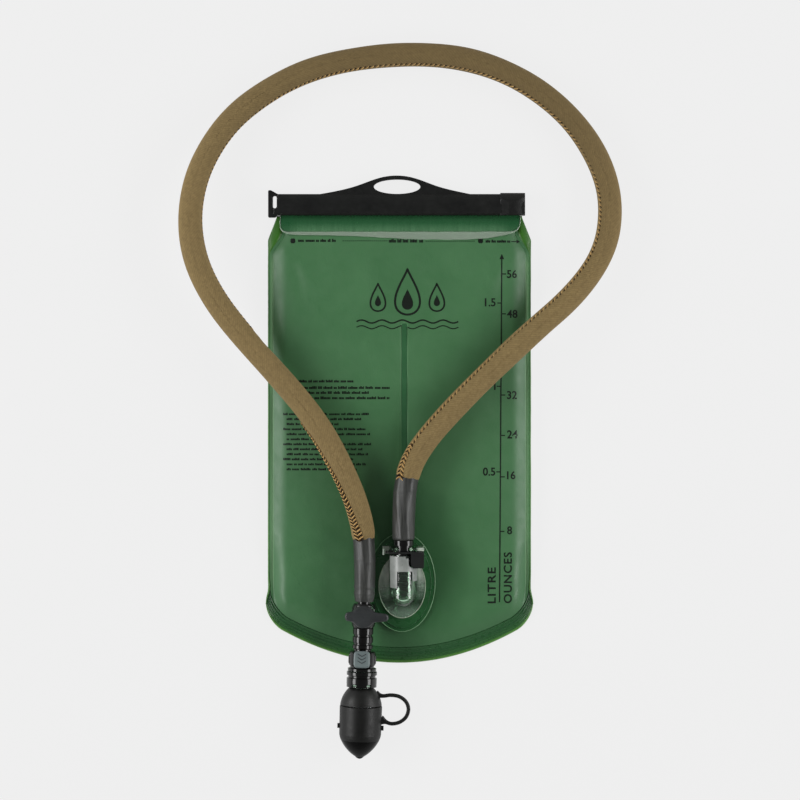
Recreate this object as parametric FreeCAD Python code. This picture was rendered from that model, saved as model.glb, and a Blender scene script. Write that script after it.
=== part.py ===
import FreeCAD, Part
import math
import os

# Hydration bladder lying on its back, in millimetres.
# +X to the object's right, +Y towards the mouth, +Z up, the flat back at z = 0.

# Reservoir
SIDE_X = 95.0            # half width along the straight sides
CORNER_X = 96.7          # half width at the bottom corners
BOTTOM_Y = -176.45       # lowest point of the rounded bottom edge
CORNER_Y = -137.0        # where the side meets the bottom corner
SEAM_Y = -165.0          # inner edge of the bottom hem, on the centre line
SEAM_CORNER_Y = -124.0   # where the hem's inner edge meets the side
SHOULDER_Y = 129.0       # where the sides start to narrow
MOUTH_Y = 147.0          # lower face of the slide seal
MOUTH_LEFT_X = -87.0
MOUTH_RIGHT_X = 88.5
FILM = 0.8               # film thickness
HEM_T = 2.4              # thickness of the welded hem
FACE_SLOPE = 4.0         # degrees, the lower front face and everything that lies along it
FACE_FOOT_Y = -158.0     # foot of the sloping face
FACE_FOOT_Z = 8.1
FACE_HEAD_Y = -40.0
CROWN_Z = 17.2           # thickest point of the filled reservoir
SIDE_Z = 8.3             # height of the side gussets
GUSSET_X = 93.6          # inner edge of a gusset strip
MID_Z = 1.2              # where the back film meets the gussets
NECK_Z0 = 4.0            # films and flap where they pass the slide seal
NECK_Z1 = 5.6
FLAP_T = 1.0
RAIL_Y0 = 150.5
RAIL_Y1 = 158.5
RAIL_Z0 = 3.4
RAIL_Z1 = 7.8

# Slide seal
BAR_X0 = -94.9
BAR_X1 = 90.8
BAR_Y0 = 147.3
BAR_Y1 = 162.8
BAR_Z0 = 0.5
BAR_Z1 = 10.4
ROUND_Y = 153.5          # from here the front face curves down towards the handle
ROUND_Z = 7.2
LOW_EDGE = 1.5           # chamfer along the lower front edge
BOSS_X = 73.0            # the thicker right end starts here
BOSS_Z = 11.5
CHANNEL_Y0 = 149.4
CHANNEL_Y1 = 159.2
CHANNEL_Z0 = 2.8
CHANNEL_Z1 = 8.3
SLOT_Z0 = 3.4
SLOT_Z1 = 7.2
TAB_X1 = -87.7           # the end tab reaches from the left end to here
TAB_Y0 = 145.8
TAB_Y1 = 165.5
CORD_SLOT_X = -90.1      # slot in the end tab for a keeper cord
CORD_SLOT_R = 1.4
CORD_SLOT_Y0 = 153.8
CORD_SLOT_Y1 = 160.0
HANDLE_Z0 = 2.8
HANDLE_Z1 = 7.0
HANDLE_CURVE = [         # top edge of the arched handle
    (-70.0, 161.2),
    (-48.0, 164.5),
    (-30.5, 168.9),
    (-13.0, 174.9),
    (-1.7, 176.2),
    (9.6, 174.7),
    (27.0, 168.6),
    (42.0, 164.7),
    (60.0, 161.2),
]
FINGER_X = -1.7          # middle of the finger opening
FINGER_Y = 168.1
FINGER_HALF_X = 16.8
FINGER_HALF_Y = 5.2

# Exit port, along its own axis: u across, v along the plug towards the mouth, w up
PORT_X = 3.0
PORT_Y = -87.0
AXIS_H = 11.5            # height of the plug's axis above the front face
SOCKET_R = 6.9
HOUSING_R = 8.7
COLLAR_R = 10.0
LATCH_TRAVEL = 1.5
PASSAGE_R = 2.0          # water passage through every fitting
SPIGOT_R = 2.9           # fittings' spigots inside the drink tube

# Drink tube
TUBE_R = 4.6
TUBE_BORE_R = 3.2
COVER_R = 8.75
COVER_BORE_R = 4.9
SLEEVE_R = 8.1
VALVE_SLEEVE_R = 7.55
SLEEVE_BORE_R = 4.8
PLUG_SLEEVE_TOP_Y = -43.3
VALVE_SLEEVE_TOP_Y = -86.7

# Valve, coupling and bite valve on one axis, which runs down from the tube's end
STACK_X = -24.2
STACK_Y = -86.7
STACK_Z = 25.7
STACK_TURN = -1.7        # degrees, in plan
LEVER_V = -54.85         # the shut-off's axis
LEVER_W = 8.8            # underside of the lever
LEVER_HUB_R = 8.2
LEVER_LEFT_U = -13.4
LEVER_RIGHT_U = 18.1
CAP_R = 15.3
RING_U = 23.7
RING_V = -122.5
RING_MID_R = 9.4
RING_WIRE_R = 1.375

# The drink tube's route, from the exit port over the top to the shut-off valve
ROUTE = [
    (3.0, -75.029, 25.45),
    (3.0, -47.0, 27.41),
    (13.0, -21.5, 28.2),
    (45.0, 14.5, 27.7),
    (92.0, 60.0, 25.0),
    (128.0, 91.0, 19.5),
    (149.0, 122.0, 14.0),
    (153.5, 155.0, 10.6),
    (146.0, 185.0, 9.2),
    (127.0, 215.0, 8.95),
    (99.0, 239.5, 8.95),
    (66.0, 256.0, 8.95),
    (32.0, 263.5, 8.95),
    (-12.0, 263.5, 8.95),
    (-58.0, 255.5, 9.2),
    (-92.0, 240.0, 11.0),
    (-123.0, 216.5, 14.6),
    (-143.5, 185.0, 18.6),
    (-152.0, 152.0, 21.6),
    (-149.0, 119.0, 23.6),
    (-136.0, 89.5, 25.0),
    (-113.0, 59.5, 26.2),
    (-85.0, 29.0, 27.2),
    (-61.0, 0.5, 27.8),
    (-43.0, -31.0, 27.8),
    (-30.5, -60.0, 27.0),
    (-24.238, -87.996, 25.609),
    (-25.088, -116.614, 23.607),
]

SLOPE = math.tan(math.radians(FACE_SLOPE))
FACE_HEAD_Z = FACE_FOOT_Z + (FACE_HEAD_Y - FACE_FOOT_Y) * SLOPE


def vec(x, y, z):
    return FreeCAD.Vector(x, y, z)


def face_z(y):
    """Height of the sloping front face."""
    return FACE_FOOT_Z + (y - FACE_FOOT_Y) * SLOPE


def tilt():
    return FreeCAD.Rotation(vec(1, 0, 0), FACE_SLOPE)


PORT_Z = face_z(PORT_Y) + AXIS_H / math.cos(math.radians(FACE_SLOPE)) + 0.02
PORT_FRAME = FreeCAD.Placement(vec(PORT_X, PORT_Y, PORT_Z), tilt())
STACK_FRAME = FreeCAD.Placement(
    vec(STACK_X, STACK_Y, STACK_Z),
    FreeCAD.Rotation(vec(0, 0, 1), STACK_TURN).multiply(tilt()),
)


def box(x0, x1, y0, y1, z0, z1):
    return Part.makeBox(x1 - x0, y1 - y0, z1 - z0, vec(x0, y0, z0))


def rod(radius, start, end):
    """A cylinder between two points."""
    way = end.sub(start)
    return Part.makeCylinder(radius, way.Length, start, way)


def prism(edges, way):
    return Part.Face(Part.Wire(edges)).extrude(way)


def loop(points):
    """Straight edges through the points, closed."""
    return Part.makePolygon(points + points[:1]).Edges


def turned(points):
    """A solid turned about the v axis from its (v, radius) outline."""
    outline = Part.Face(Part.makePolygon([vec(r, v, 0) for v, r in points + points[:1]]))
    return outline.revolve(vec(0, 0, 0), vec(0, 1, 0), 360)


def turned_edges(edges):
    return Part.Face(Part.Wire(edges)).revolve(vec(0, 0, 0), vec(0, 1, 0), 360)


def line(a, b):
    return Part.LineSegment(a, b).toShape()


def arc(a, b, c):
    return Part.Arc(a, b, c).toShape()


def o_ring(mid_radius, section, v):
    return Part.makeTorus(mid_radius, section, vec(0, v, 0), vec(0, 1, 0))


def at_port(shape):
    return shape.transformed(PORT_FRAME.toMatrix())


def at_stack(shape):
    return shape.transformed(STACK_FRAME.toMatrix())


def save(name, shape):
    solid = shape
    if solid.ShapeType == "Compound" and len(solid.Solids) == 1:
        solid = solid.Solids[0]
    if not solid.isValid():
        print("invalid:", name)
    solid.exportStep(os.path.join("parts", name + ".step"))
    print(f"{name}: {len(solid.Solids)} solid, {solid.Volume / 1000:.2f} cm3")


# ---- reservoir ----

def bag_plan(inset):
    """Outline of the filled part, with the rounded bottom seam."""
    side = SIDE_X - inset
    low = SEAM_CORNER_Y
    bend_x, bend_y = 66.0, SEAM_Y + 15.0 + inset
    corner_x, corner_y = 85.0 - inset, SEAM_Y + 23.5 + inset
    left, right = MOUTH_LEFT_X + inset, MOUTH_RIGHT_X - inset
    return [
        line(vec(side, low, 0), vec(side, SHOULDER_Y, 0)),
        arc(vec(side, SHOULDER_Y, 0), vec(side - 1.2, 139, 0), vec(right, MOUTH_Y, 0)),
        line(vec(right, MOUTH_Y, 0), vec(right, RAIL_Y0, 0)),
        line(vec(right, RAIL_Y0, 0), vec(left, RAIL_Y0, 0)),
        line(vec(left, RAIL_Y0, 0), vec(left, MOUTH_Y, 0)),
        arc(vec(left, MOUTH_Y, 0), vec(1.6 - side, 139, 0), vec(-side, SHOULDER_Y, 0)),
        line(vec(-side, SHOULDER_Y, 0), vec(-side, low, 0)),
        arc(vec(-side, low, 0), vec(-corner_x, corner_y, 0), vec(-bend_x, bend_y, 0)),
        arc(vec(-bend_x, bend_y, 0), vec(0, SEAM_Y + inset, 0), vec(bend_x, bend_y, 0)),
        arc(vec(bend_x, bend_y, 0), vec(corner_x, corner_y, 0), vec(side, low, 0)),
    ]


def bag_side(inset):
    """Side view: flat back, sloping lower face, crown, and the neck in the slide seal."""
    top = [
        vec(0, SEAM_Y, HEM_T - inset),
        vec(0, FACE_FOOT_Y, FACE_FOOT_Z - inset),
        vec(0, FACE_HEAD_Y, FACE_HEAD_Z - inset),
        vec(0, 20, CROWN_Z - inset),
        vec(0, 80, 16.0 - inset),
        vec(0, 120, 12.4 - inset),
    ]
    if inset:
        neck_top = [vec(0, 143, NECK_Z1 + 0.8 - inset)]
        neck_back = [vec(0, 143, NECK_Z0 - 0.5 + inset)]
    else:
        neck_top = [vec(0, 146, NECK_Z1), vec(0, RAIL_Y0, NECK_Z1)]
        neck_back = [vec(0, RAIL_Y0, NECK_Z0), vec(0, 146, NECK_Z0)]
    back = [vec(0, 116, inset), vec(0, SEAM_Y, inset)]
    edges = [line(top[0], top[1]), line(top[1], top[2]), arc(top[2], top[3], top[4])]
    chain = [top[4], top[5]] + neck_top + neck_back + back + [top[0]]
    for start, end in zip(chain, chain[1:]):
        edges.append(line(start, end))
    return edges


def bag_section(inset):
    """Cross-section: upright gussets at the sides and a domed front."""
    wide = CORNER_X + 1.0
    low, high = -1.0, SIDE_Z - inset
    return [
        line(vec(-wide, 0, low), vec(wide, 0, low)),
        line(vec(wide, 0, low), vec(wide, 0, high)),
        arc(vec(wide, 0, high), vec(0, 0, CROWN_Z + 1.0 - inset), vec(-wide, 0, high)),
        line(vec(-wide, 0, high), vec(-wide, 0, low)),
    ]


def bag_body(inset):
    plan = prism(bag_plan(inset), vec(0, 0, 30))
    side = prism(bag_side(inset), vec(2 * CORNER_X + 10, 0, 0))
    side.translate(vec(-CORNER_X - 5, 0, 0))
    section = prism(bag_section(inset), vec(0, 340, 0))
    section.translate(vec(0, -180, 0))
    return plan.common(side).common(section)


def below_mid():
    """Everything behind the line where the back film ends."""
    points = [
        vec(-110, -200, -5),
        vec(-110, -200, MID_Z),
        vec(-110, 116, MID_Z),
        vec(-110, 146, (NECK_Z0 + NECK_Z1) / 2),
        vec(-110, 170, (NECK_Z0 + NECK_Z1) / 2),
        vec(-110, 170, -5),
    ]
    return prism(loop(points), vec(220, 0, 0))


def reservoir():
    outer = bag_body(0)
    inner = bag_body(FILM)
    shell = outer.cut(inner)
    lower = below_mid()
    back = shell.common(lower)
    rest = shell.cut(lower)
    left_zone = box(-110, -GUSSET_X, -170, 146, -1, 30)
    right_zone = box(GUSSET_X, 110, -170, 146, -1, 30)
    inlet = at_port(rod(5.0, vec(0, -38, -AXIS_H - 6), vec(0, -38, -AXIS_H + 3)))
    front = rest.cut(left_zone).cut(right_zone).cut(inlet)
    baffle = inner.common(box(1.7, 5.3, -76, 69, 0, 30))
    save("back_panel", back)
    save("front_panel", front)
    save("gusset_left", rest.common(left_zone))
    save("gusset_right", rest.common(right_zone))
    save("centre_baffle", baffle)


def hem_outline():
    bend_x, bend_y = 66.0, BOTTOM_Y + 14.2
    corner_x, corner_y = 87.5, -152.6
    return [
        arc(vec(-CORNER_X, CORNER_Y, 0), vec(-corner_x, corner_y, 0), vec(-bend_x, bend_y, 0)),
        arc(vec(-bend_x, bend_y, 0), vec(0, BOTTOM_Y, 0), vec(bend_x, bend_y, 0)),
        arc(vec(bend_x, bend_y, 0), vec(corner_x, corner_y, 0), vec(CORNER_X, CORNER_Y, 0)),
        line(vec(CORNER_X, CORNER_Y, 0), vec(SIDE_X, SEAM_CORNER_Y, 0)),
        line(vec(SIDE_X, SEAM_CORNER_Y, 0), vec(-SIDE_X, SEAM_CORNER_Y, 0)),
        line(vec(-SIDE_X, SEAM_CORNER_Y, 0), vec(-CORNER_X, CORNER_Y, 0)),
    ]


def bottom_hem():
    band = prism(hem_outline(), vec(0, 0, HEM_T))
    filled = prism(bag_plan(0), vec(0, 0, 30))
    save("bottom_hem", band.cut(filled))


def mouth():
    """The stiff bead inside the slide seal and the folded flap that hangs from it."""
    rail = box(MOUTH_LEFT_X + 0.3, MOUTH_RIGHT_X, RAIL_Y0, RAIL_Y1, RAIL_Z0, RAIL_Z1)
    long_edges = [e for e in rail.Edges if abs(e.tangentAt(0).x) > 0.9]
    save("mouth_rail", rail.makeFillet(1.2, long_edges))
    gap = 0.4
    under = [
        vec(MOUTH_LEFT_X, RAIL_Y0, NECK_Z1),
        vec(MOUTH_LEFT_X, 146.0, NECK_Z1),
        vec(MOUTH_LEFT_X, 131.0, 9.52 + gap),
    ]
    over = [
        vec(MOUTH_LEFT_X, 131.0, 9.52 + gap + FLAP_T),
        vec(MOUTH_LEFT_X, 146.4, NECK_Z1 + FLAP_T),
        vec(MOUTH_LEFT_X, RAIL_Y0, NECK_Z1 + FLAP_T),
    ]
    flap = prism(loop(under + over), vec(MOUTH_RIGHT_X - MOUTH_LEFT_X, 0, 0))
    save("mouth_flap", flap.common(flap_plan()))


def flap_plan():
    """The flap seen from above, with its two rounded lower corners."""
    left, right, low, high = MOUTH_LEFT_X, MOUTH_RIGHT_X, 131.0, RAIL_Y0
    r = 6.0
    k = r * (1 - math.sqrt(0.5))
    edges = [
        line(vec(left, high, 0), vec(left, low + r, 0)),
        arc(vec(left, low + r, 0), vec(left + k, low + k, 0), vec(left + r, low, 0)),
        line(vec(left + r, low, 0), vec(right - r, low, 0)),
        arc(vec(right - r, low, 0), vec(right - k, low + k, 0), vec(right, low + r, 0)),
        line(vec(right, low + r, 0), vec(right, high, 0)),
        line(vec(right, high, 0), vec(left, high, 0)),
    ]
    return prism(edges, vec(0, 0, 30))


# ---- slide seal ----

def slider_section(x, y_end, top):
    """The bar's cross-section at x: flat in front, rounded off towards the handle."""
    middle = vec(x, ROUND_Y + 5.4, top - 1.0)
    flat = [
        vec(x, y_end, ROUND_Z),
        vec(x, y_end, BAR_Z0),
        vec(x, BAR_Y0, BAR_Z0),
        vec(x, BAR_Y0, top - LOW_EDGE),
        vec(x, BAR_Y0 + LOW_EDGE, top),
        vec(x, ROUND_Y, top),
    ]
    edges = [line(start, end) for start, end in zip(flat, flat[1:])]
    return edges + [arc(flat[-1], middle, flat[0])]


def slider_boss():
    """The thicker right end, whose front face falls away towards the end."""
    y0, y1 = BAR_Y0, BAR_Y1 + 0.8
    top = arc(
        vec(BOSS_X + 6, y0, BOSS_Z), vec(BAR_X1 - 4.5, y0, BOSS_Z - 0.55), vec(BAR_X1, y0, 9.6)
    )
    edges = [
        line(vec(BOSS_X, y0, BAR_Z1 - 0.2), vec(BOSS_X + 6, y0, BOSS_Z)),
        top,
        line(vec(BAR_X1, y0, 9.6), vec(BAR_X1, y0, BAR_Z0)),
        line(vec(BAR_X1, y0, BAR_Z0), vec(BOSS_X, y0, BAR_Z0)),
        line(vec(BOSS_X, y0, BAR_Z0), vec(BOSS_X, y0, BAR_Z1 - 0.2)),
    ]
    boss = prism(edges, vec(0, y1 - y0, 0))
    section = slider_section(BOSS_X - 1, y1, BOSS_Z + 0.3)
    return boss.common(prism(section, vec(30, 0, 0)))


def slider_tab():
    """End tab with a sloping top, slotted for a keeper cord."""
    points = [
        vec(BAR_X0, TAB_Y0, BAR_Z0),
        vec(BAR_X0, TAB_Y1, BAR_Z0),
        vec(BAR_X0 + 2.0, TAB_Y1, BAR_Z0),
        vec(TAB_X1, BAR_Y1 - 0.2, BAR_Z0),
        vec(TAB_X1, TAB_Y0 + 2.0, BAR_Z0),
        vec(TAB_X1 - 2.2, TAB_Y0, BAR_Z0),
    ]
    tab = prism(loop(points), vec(0, 0, BAR_Z1 - 0.8 - BAR_Z0))
    upright = [e for e in tab.Edges if abs(e.tangentAt(0).z) > 0.9 and e.CenterOfMass.x < -90]
    tab = tab.makeFillet(0.9, upright)
    low = vec(CORD_SLOT_X, CORD_SLOT_Y0, BAR_Z0 - 1)
    high = vec(CORD_SLOT_X, CORD_SLOT_Y1, BAR_Z0 - 1)
    ends = [Part.makeCylinder(CORD_SLOT_R, 14, at) for at in (low, high)]
    middle = box(
        CORD_SLOT_X - CORD_SLOT_R,
        CORD_SLOT_X + CORD_SLOT_R,
        CORD_SLOT_Y0,
        CORD_SLOT_Y1,
        BAR_Z0 - 1,
        BAR_Z0 + 13,
    )
    return tab, middle.fuse(ends)


def slider_handle():
    crest = Part.BSplineCurve()
    crest.interpolate([vec(x, y, HANDLE_Z0) for x, y in HANDLE_CURVE])
    (x0, y0), (x1, y1) = HANDLE_CURVE[0], HANDLE_CURVE[-1]
    low = BAR_Y1 - 3
    foot = [
        line(vec(x1, y1, HANDLE_Z0), vec(x1, low, HANDLE_Z0)),
        line(vec(x1, low, HANDLE_Z0), vec(x0, low, HANDLE_Z0)),
        line(vec(x0, low, HANDLE_Z0), vec(x0, y0, HANDLE_Z0)),
    ]
    handle = prism([crest.toShape()] + foot, vec(0, 0, HANDLE_Z1 - HANDLE_Z0))
    centre = vec(FINGER_X, FINGER_Y, 0)
    oval = Part.Ellipse(centre, FINGER_HALF_X, FINGER_HALF_Y).toShape()
    return handle, prism([oval], vec(0, 0, 20))


def slider():
    """Channel bar with its end tab and arched handle."""
    bar = prism(slider_section(BAR_X0 + 4, BAR_Y1, BAR_Z1), vec(BAR_X1 - BAR_X0 - 4, 0, 0))
    tab, cord_slot = slider_tab()
    handle, finger = slider_handle()
    channel = box(TAB_X1, BAR_X1 + 1, CHANNEL_Y0, CHANNEL_Y1, CHANNEL_Z0, CHANNEL_Z1)
    slot = box(TAB_X1, BAR_X1 + 1, BAR_Y0 - 3, CHANNEL_Y0 + 1, SLOT_Z0, SLOT_Z1)
    body = bar.fuse([slider_boss(), tab, handle]).removeSplitter()
    body = body.cut(Part.makeCompound([finger, cord_slot]))
    save("slider_bar", body.cut(channel).cut(slot))


# ---- exit port ----

def oval_plate(u, v, half_u, half_v, w0, w1):
    edge = Part.Ellipse(
        vec(u, v + half_v, w0), vec(u + half_u, v, w0), vec(u, v, w0)
    ).toShape()
    return prism([edge], vec(0, 0, w1 - w0))


def port_base():
    base = -AXIS_H
    plate = oval_plate(-1.4, -31.6, 24.5, 36.0, base, base + 1.4)
    step = oval_plate(-1.3, -31.8, 21.4, 32.8, base + 1.4, base + 2.2)
    well = rod(5.0, vec(0, -38, base - 1), vec(0, -38, base + 5))
    save("port_flange", at_port(plate.fuse(step).removeSplitter().cut(well)))


def travel_hole(radius, v0, v1, shift):
    """A hole with room for a part that moves sideways by shift."""
    first = rod(radius, vec(0, v0, 0), vec(0, v1, 0))
    last = rod(radius, vec(shift, v0, 0), vec(shift, v1, 0))
    return first.fuse([last, box(0, shift, v0, v1, -radius, radius)])


def port_housing():
    """Clear socket on its oval base, with the plate that guards the latch."""
    base = -AXIS_H + 2.2
    foot = oval_plate(-1.1, -34.0, 17.0, 23.2, base, base + 2.4)
    barrel = rod(HOUSING_R, vec(0, -10.5, 0), vec(0, -40, 0))
    dome = Part.makeSphere(HOUSING_R, vec(0, -40, 0))
    web = box(-5.2, 5.2, -44, -11, base + 1, 0)
    guard = box(-9.0, 14.7, -7.3, -5.0, base + 0.2, 6.0)
    guard = guard.cut(rod(7.3, vec(0, -8, 0), vec(0, -4, 0)))
    arm = box(12.9, 14.7, -19.0, -7.3, base + 0.2, -5.0)
    shelf = box(-9.0, 14.7, -19.0, -5.0, base, base + 1.6)
    post = box(-15.2, -13.9, -10.4, -6.0, base, 3.0)
    post_foot = box(-15.2, -9.0, -10.4, -5.0, base, base + 1.6)
    solid = foot.fuse([barrel, dome, web, guard, arm, shelf, post, post_foot]).removeSplitter()
    socket = rod(SOCKET_R, vec(0, -10, 0), vec(0, -37.5, 0))
    well = rod(4.2, vec(0, -38, base - 1), vec(0, -38, 0))
    passage = Part.makeSphere(6.0, vec(0, -38.5, 0))
    save("port_housing", at_port(solid.cut(socket).cut(well).cut(passage)))


def port_collar():
    ring = turned([(-11.0, HOUSING_R + 0.05), (-11.0, COLLAR_R), (-22.0, COLLAR_R),
                   (-22.0, HOUSING_R + 0.05)])
    notch = box(3.6, 20, -19.9, -10.0, -5.0, 20)
    corner = [e for e in notch.Edges if abs(e.tangentAt(0).z) > 0.9]
    corner = [e for e in corner if e.CenterOfMass.x < 5 and e.CenterOfMass.y < -15]
    notch = notch.makeFillet(4.2, corner).fuse(box(1.5, 20, -12.4, -10.0, -5.0, 20))
    skirt = turned([(-22.0, HOUSING_R + 0.05), (-22.0, COLLAR_R - 0.3), (-35.0, COLLAR_R - 0.3),
                    (-35.0, HOUSING_R + 0.05)])
    left_key = skirt.common(box(-12, -4.6, -34.0, -21.0, -2, 12))
    right_key = skirt.common(box(6.2, 12, -29.0, -21.0, -2, 12))
    foot_room = box(-20, 20, -36, -5, -20, -AXIS_H + 4.7)
    collar = ring.fuse([left_key, right_key]).removeSplitter()
    save("port_collar", at_port(collar.cut(notch).cut(foot_room)))


def release_latch():
    """Latch plate round the plug, with the tab that is pressed from the side."""
    plate = box(-10.4, 12.0, -9.2, -7.8, -7.0, 9.0)
    plate = plate.cut(travel_hole(7.3, -10, -7, LATCH_TRAVEL))
    tab = box(5.2, 14.7, -19.4, -7.8, -4.4, 10.2)
    upright = [e for e in tab.Edges if abs(e.tangentAt(0).z) > 0.9]
    low_left = [e for e in upright if e.CenterOfMass.x < 10 and e.CenterOfMass.y < -15]
    tab = tab.makeFillet(3.6, low_left)
    outer = [e for e in tab.Edges if abs(e.tangentAt(0).z) > 0.9 and e.CenterOfMass.x > 14]
    tab = tab.makeFillet(1.2, outer)
    room = travel_hole(HOUSING_R + 0.4, -20, -7.0, LATCH_TRAVEL + 0.2)
    save("release_latch", at_port(plate.fuse(tab.cut(room)).removeSplitter()))


def wave_spring(u0, u1, across, thick, v0, v1, waves):
    """A folded leaf spring that fills u0 to u1."""
    step = (u1 - u0 - thick) / waves
    leaves = []
    for i in range(waves):
        low = across if i % 2 else -across
        a, b = u0 + i * step, u0 + (i + 1) * step
        corners = [vec(a, v0, low), vec(a + thick, v0, low), vec(b + thick, v0, -low), vec(b, v0, -low)]
        leaves.append(prism(loop(corners), vec(0, v1 - v0, 0)))
    return leaves[0].fuse(leaves[1:])


def release_spring():
    save("release_spring", at_port(wave_spring(-13.85, -10.45, 1.6, 0.4, -9.1, -7.6, 4)))


def port_plug():
    """Barbed plug: nose in the socket, press flange and barb in the drink tube."""
    outline = [
        (-36.0, PASSAGE_R + 1.0), (-36.0, 5.9), (-33.5, 6.4), (-31.8, 6.4), (-31.8, 5.2),
        (-29.4, 5.2), (-29.4, 6.4), (-26.6, 6.4), (-26.6, 5.2), (-24.2, 5.2), (-24.2, 6.4),
        (-22.0, 6.4), (-20.5, 6.15), (-3.6, 6.15), (-3.6, 7.2), (0.0, 7.2), (0.0, 4.6),
        (11.9, 4.6), (11.9, SPIGOT_R), (22.0, SPIGOT_R), (22.0, 3.15), (27.0, 2.5),
        (27.0, PASSAGE_R), (-20.0, PASSAGE_R),
    ]
    body = turned(outline)
    window = rod(PASSAGE_R, vec(0, -34.8, 0), vec(0, -34.8, -8))
    save("port_plug", at_port(body.cut(window)))
    seals = [o_ring(5.85, 0.95, -30.6), o_ring(5.85, 0.95, -25.4)]
    groove = turned([(-31.8, 4.0), (-31.8, 5.25), (-24.2, 5.25), (-24.2, 4.0)])
    rings = Part.makeCompound([ring.cut(groove) for ring in seals])
    save("plug_seals", at_port(rings))


# ---- drink tube ----

def stack_point(v):
    return STACK_FRAME.multVec(vec(0, v, 0))


def tube_path(points):
    """Straight runs joined by tangent arcs, each as large as its two runs allow."""
    edges = []
    here = points[0]
    for before, corner, after in zip(points, points[1:], points[2:]):
        back = before.sub(corner)
        ahead = after.sub(corner)
        turn = math.pi - back.getAngle(ahead)
        reach = 0.45 * min(back.Length, ahead.Length)
        radius = reach / math.tan(turn / 2)
        back.normalize()
        ahead.normalize()
        enter = corner.add(back * reach)
        leave = corner.add(ahead * reach)
        inward = back.add(ahead).normalize()
        middle = corner.add(inward * (math.hypot(radius, reach) - radius))
        edges.append(line(here, enter))
        edges.append(arc(enter, middle, leave))
        here = leave
        print(f"  turn {math.degrees(turn):5.1f} deg, radius {radius:6.1f} mm")
    edges.append(line(here, points[-1]))
    return edges


def trimmed(edges, start, end):
    """The part of a path between two lengths along it."""
    kept = []
    done = 0.0
    for edge in edges:
        length = edge.Length
        low = max(start - done, 0.0)
        high = min(end - done, length)
        if high - low > 0.01:
            first = edge.getParameterByLength(low)
            last = edge.getParameterByLength(high)
            kept.append(edge.Curve.toShape(first, last))
        done += length
    return kept


def length_at_y(edges, y, backwards):
    """Length along the path where it crosses a given y, from one end."""
    total = sum(e.Length for e in edges)
    steps = 400
    reach = 90.0
    for i in range(steps):
        s = reach * i / steps
        at = total - s if backwards else s
        done = 0.0
        for edge in edges:
            if at <= done + edge.Length:
                point = edge.valueAt(edge.getParameterByLength(at - done))
                break
            done += edge.Length
        if point.y >= y:
            return at
    return 0.0


def pipe(edges, radius):
    wire = Part.Wire(edges)
    start = wire.Edges[0]
    point = start.valueAt(start.FirstParameter)
    way = start.tangentAt(start.FirstParameter)
    ring = Part.Wire([Part.Circle(point, way, radius).toShape()])
    return wire.makePipeShell([ring], True, False)


def tube(name, edges, outer, bore):
    shape = pipe(edges, outer).cut(pipe(edges, bore))
    length = sum(e.Length for e in edges)
    section = math.pi * (outer ** 2 - bore ** 2)
    filled = shape.Volume / section / length
    print(f"  {name}: {length:.1f} mm, volume over section times length {filled:.4f}")
    save(name, shape)


def drink_tube():
    edges = tube_path([vec(*p) for p in ROUTE])
    total = sum(e.Length for e in edges)
    cover_start = length_at_y(edges, PLUG_SLEEVE_TOP_Y, False)
    cover_end = length_at_y(edges, VALVE_SLEEVE_TOP_Y, True)
    tube("drink_tube", edges, TUBE_R, TUBE_BORE_R)
    tube("hose_cover", trimmed(edges, cover_start, cover_end), COVER_R, COVER_BORE_R)
    port_side = trimmed(edges, 0, cover_start)
    first = port_side[0]
    plug_end = PORT_FRAME.multVec(vec(0, 0.3, 0))
    port_side[0] = line(plug_end, first.valueAt(first.LastParameter))
    tube("plug_sleeve", port_side, SLEEVE_R, SLEEVE_BORE_R)
    valve_side = trimmed(edges, cover_end, total)
    last = valve_side[-1]
    valve_side[-1] = line(last.valueAt(last.FirstParameter), stack_point(-45.0))
    tube("valve_sleeve", valve_side, VALVE_SLEEVE_R, SLEEVE_BORE_R)


# ---- shut-off valve ----

def valve_body():
    outline = [
        (-22.0, PASSAGE_R), (-22.0, 2.5), (-27.0, 3.15), (-27.0, SPIGOT_R),
        (-30.4, SPIGOT_R), (-30.4, TUBE_R),
        (-46.0, TUBE_R), (-46.0, 6.8), (-47.2, 7.8), (-49.4, 8.5), (-61.0, 8.5), (-63.3, 7.6),
        (-63.3, 5.0), (-71.8, 5.0), (-71.8, PASSAGE_R),
    ]
    body = turned(outline)
    boss = rod(8.2, vec(0, LEVER_V, 0), vec(0, LEVER_V, 8.6))
    bore = rod(5.25, vec(0, LEVER_V, -5.6), vec(0, LEVER_V, 9))
    passage = rod(PASSAGE_R, vec(0, -70, 0), vec(0, -40, 0))
    save("valve_body", at_stack(body.fuse(boss).removeSplitter().cut(bore).cut(passage)))


def valve_spool():
    """The stopper that the lever turns, with a cross hole and two seals."""
    at = vec(0, LEVER_V, -5.3)
    barrel = Part.makeCylinder(5.0, 13.9, at)
    for w in (-4.6, 3.4):
        groove = Part.makeCylinder(5.2, 1.4, vec(0, LEVER_V, w))
        barrel = barrel.cut(groove.cut(Part.makeCylinder(4.2, 1.4, vec(0, LEVER_V, w))))
    key = box(-2.5, 2.5, LEVER_V - 1.5, LEVER_V + 1.5, 8.6, 10.6)
    hole = rod(PASSAGE_R, vec(0, LEVER_V - 6, 0), vec(0, LEVER_V + 6, 0))
    save("valve_spool", at_stack(barrel.fuse(key).removeSplitter().cut(hole)))
    seals = [Part.makeTorus(4.68, 0.5, vec(0, LEVER_V, w + 0.7)) for w in (-4.6, 3.4)]
    inside = Part.makeCylinder(4.2, 12, vec(0, LEVER_V, -5.5))
    save("spool_seals", at_stack(Part.makeCompound([s.cut(inside) for s in seals])))


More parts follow.
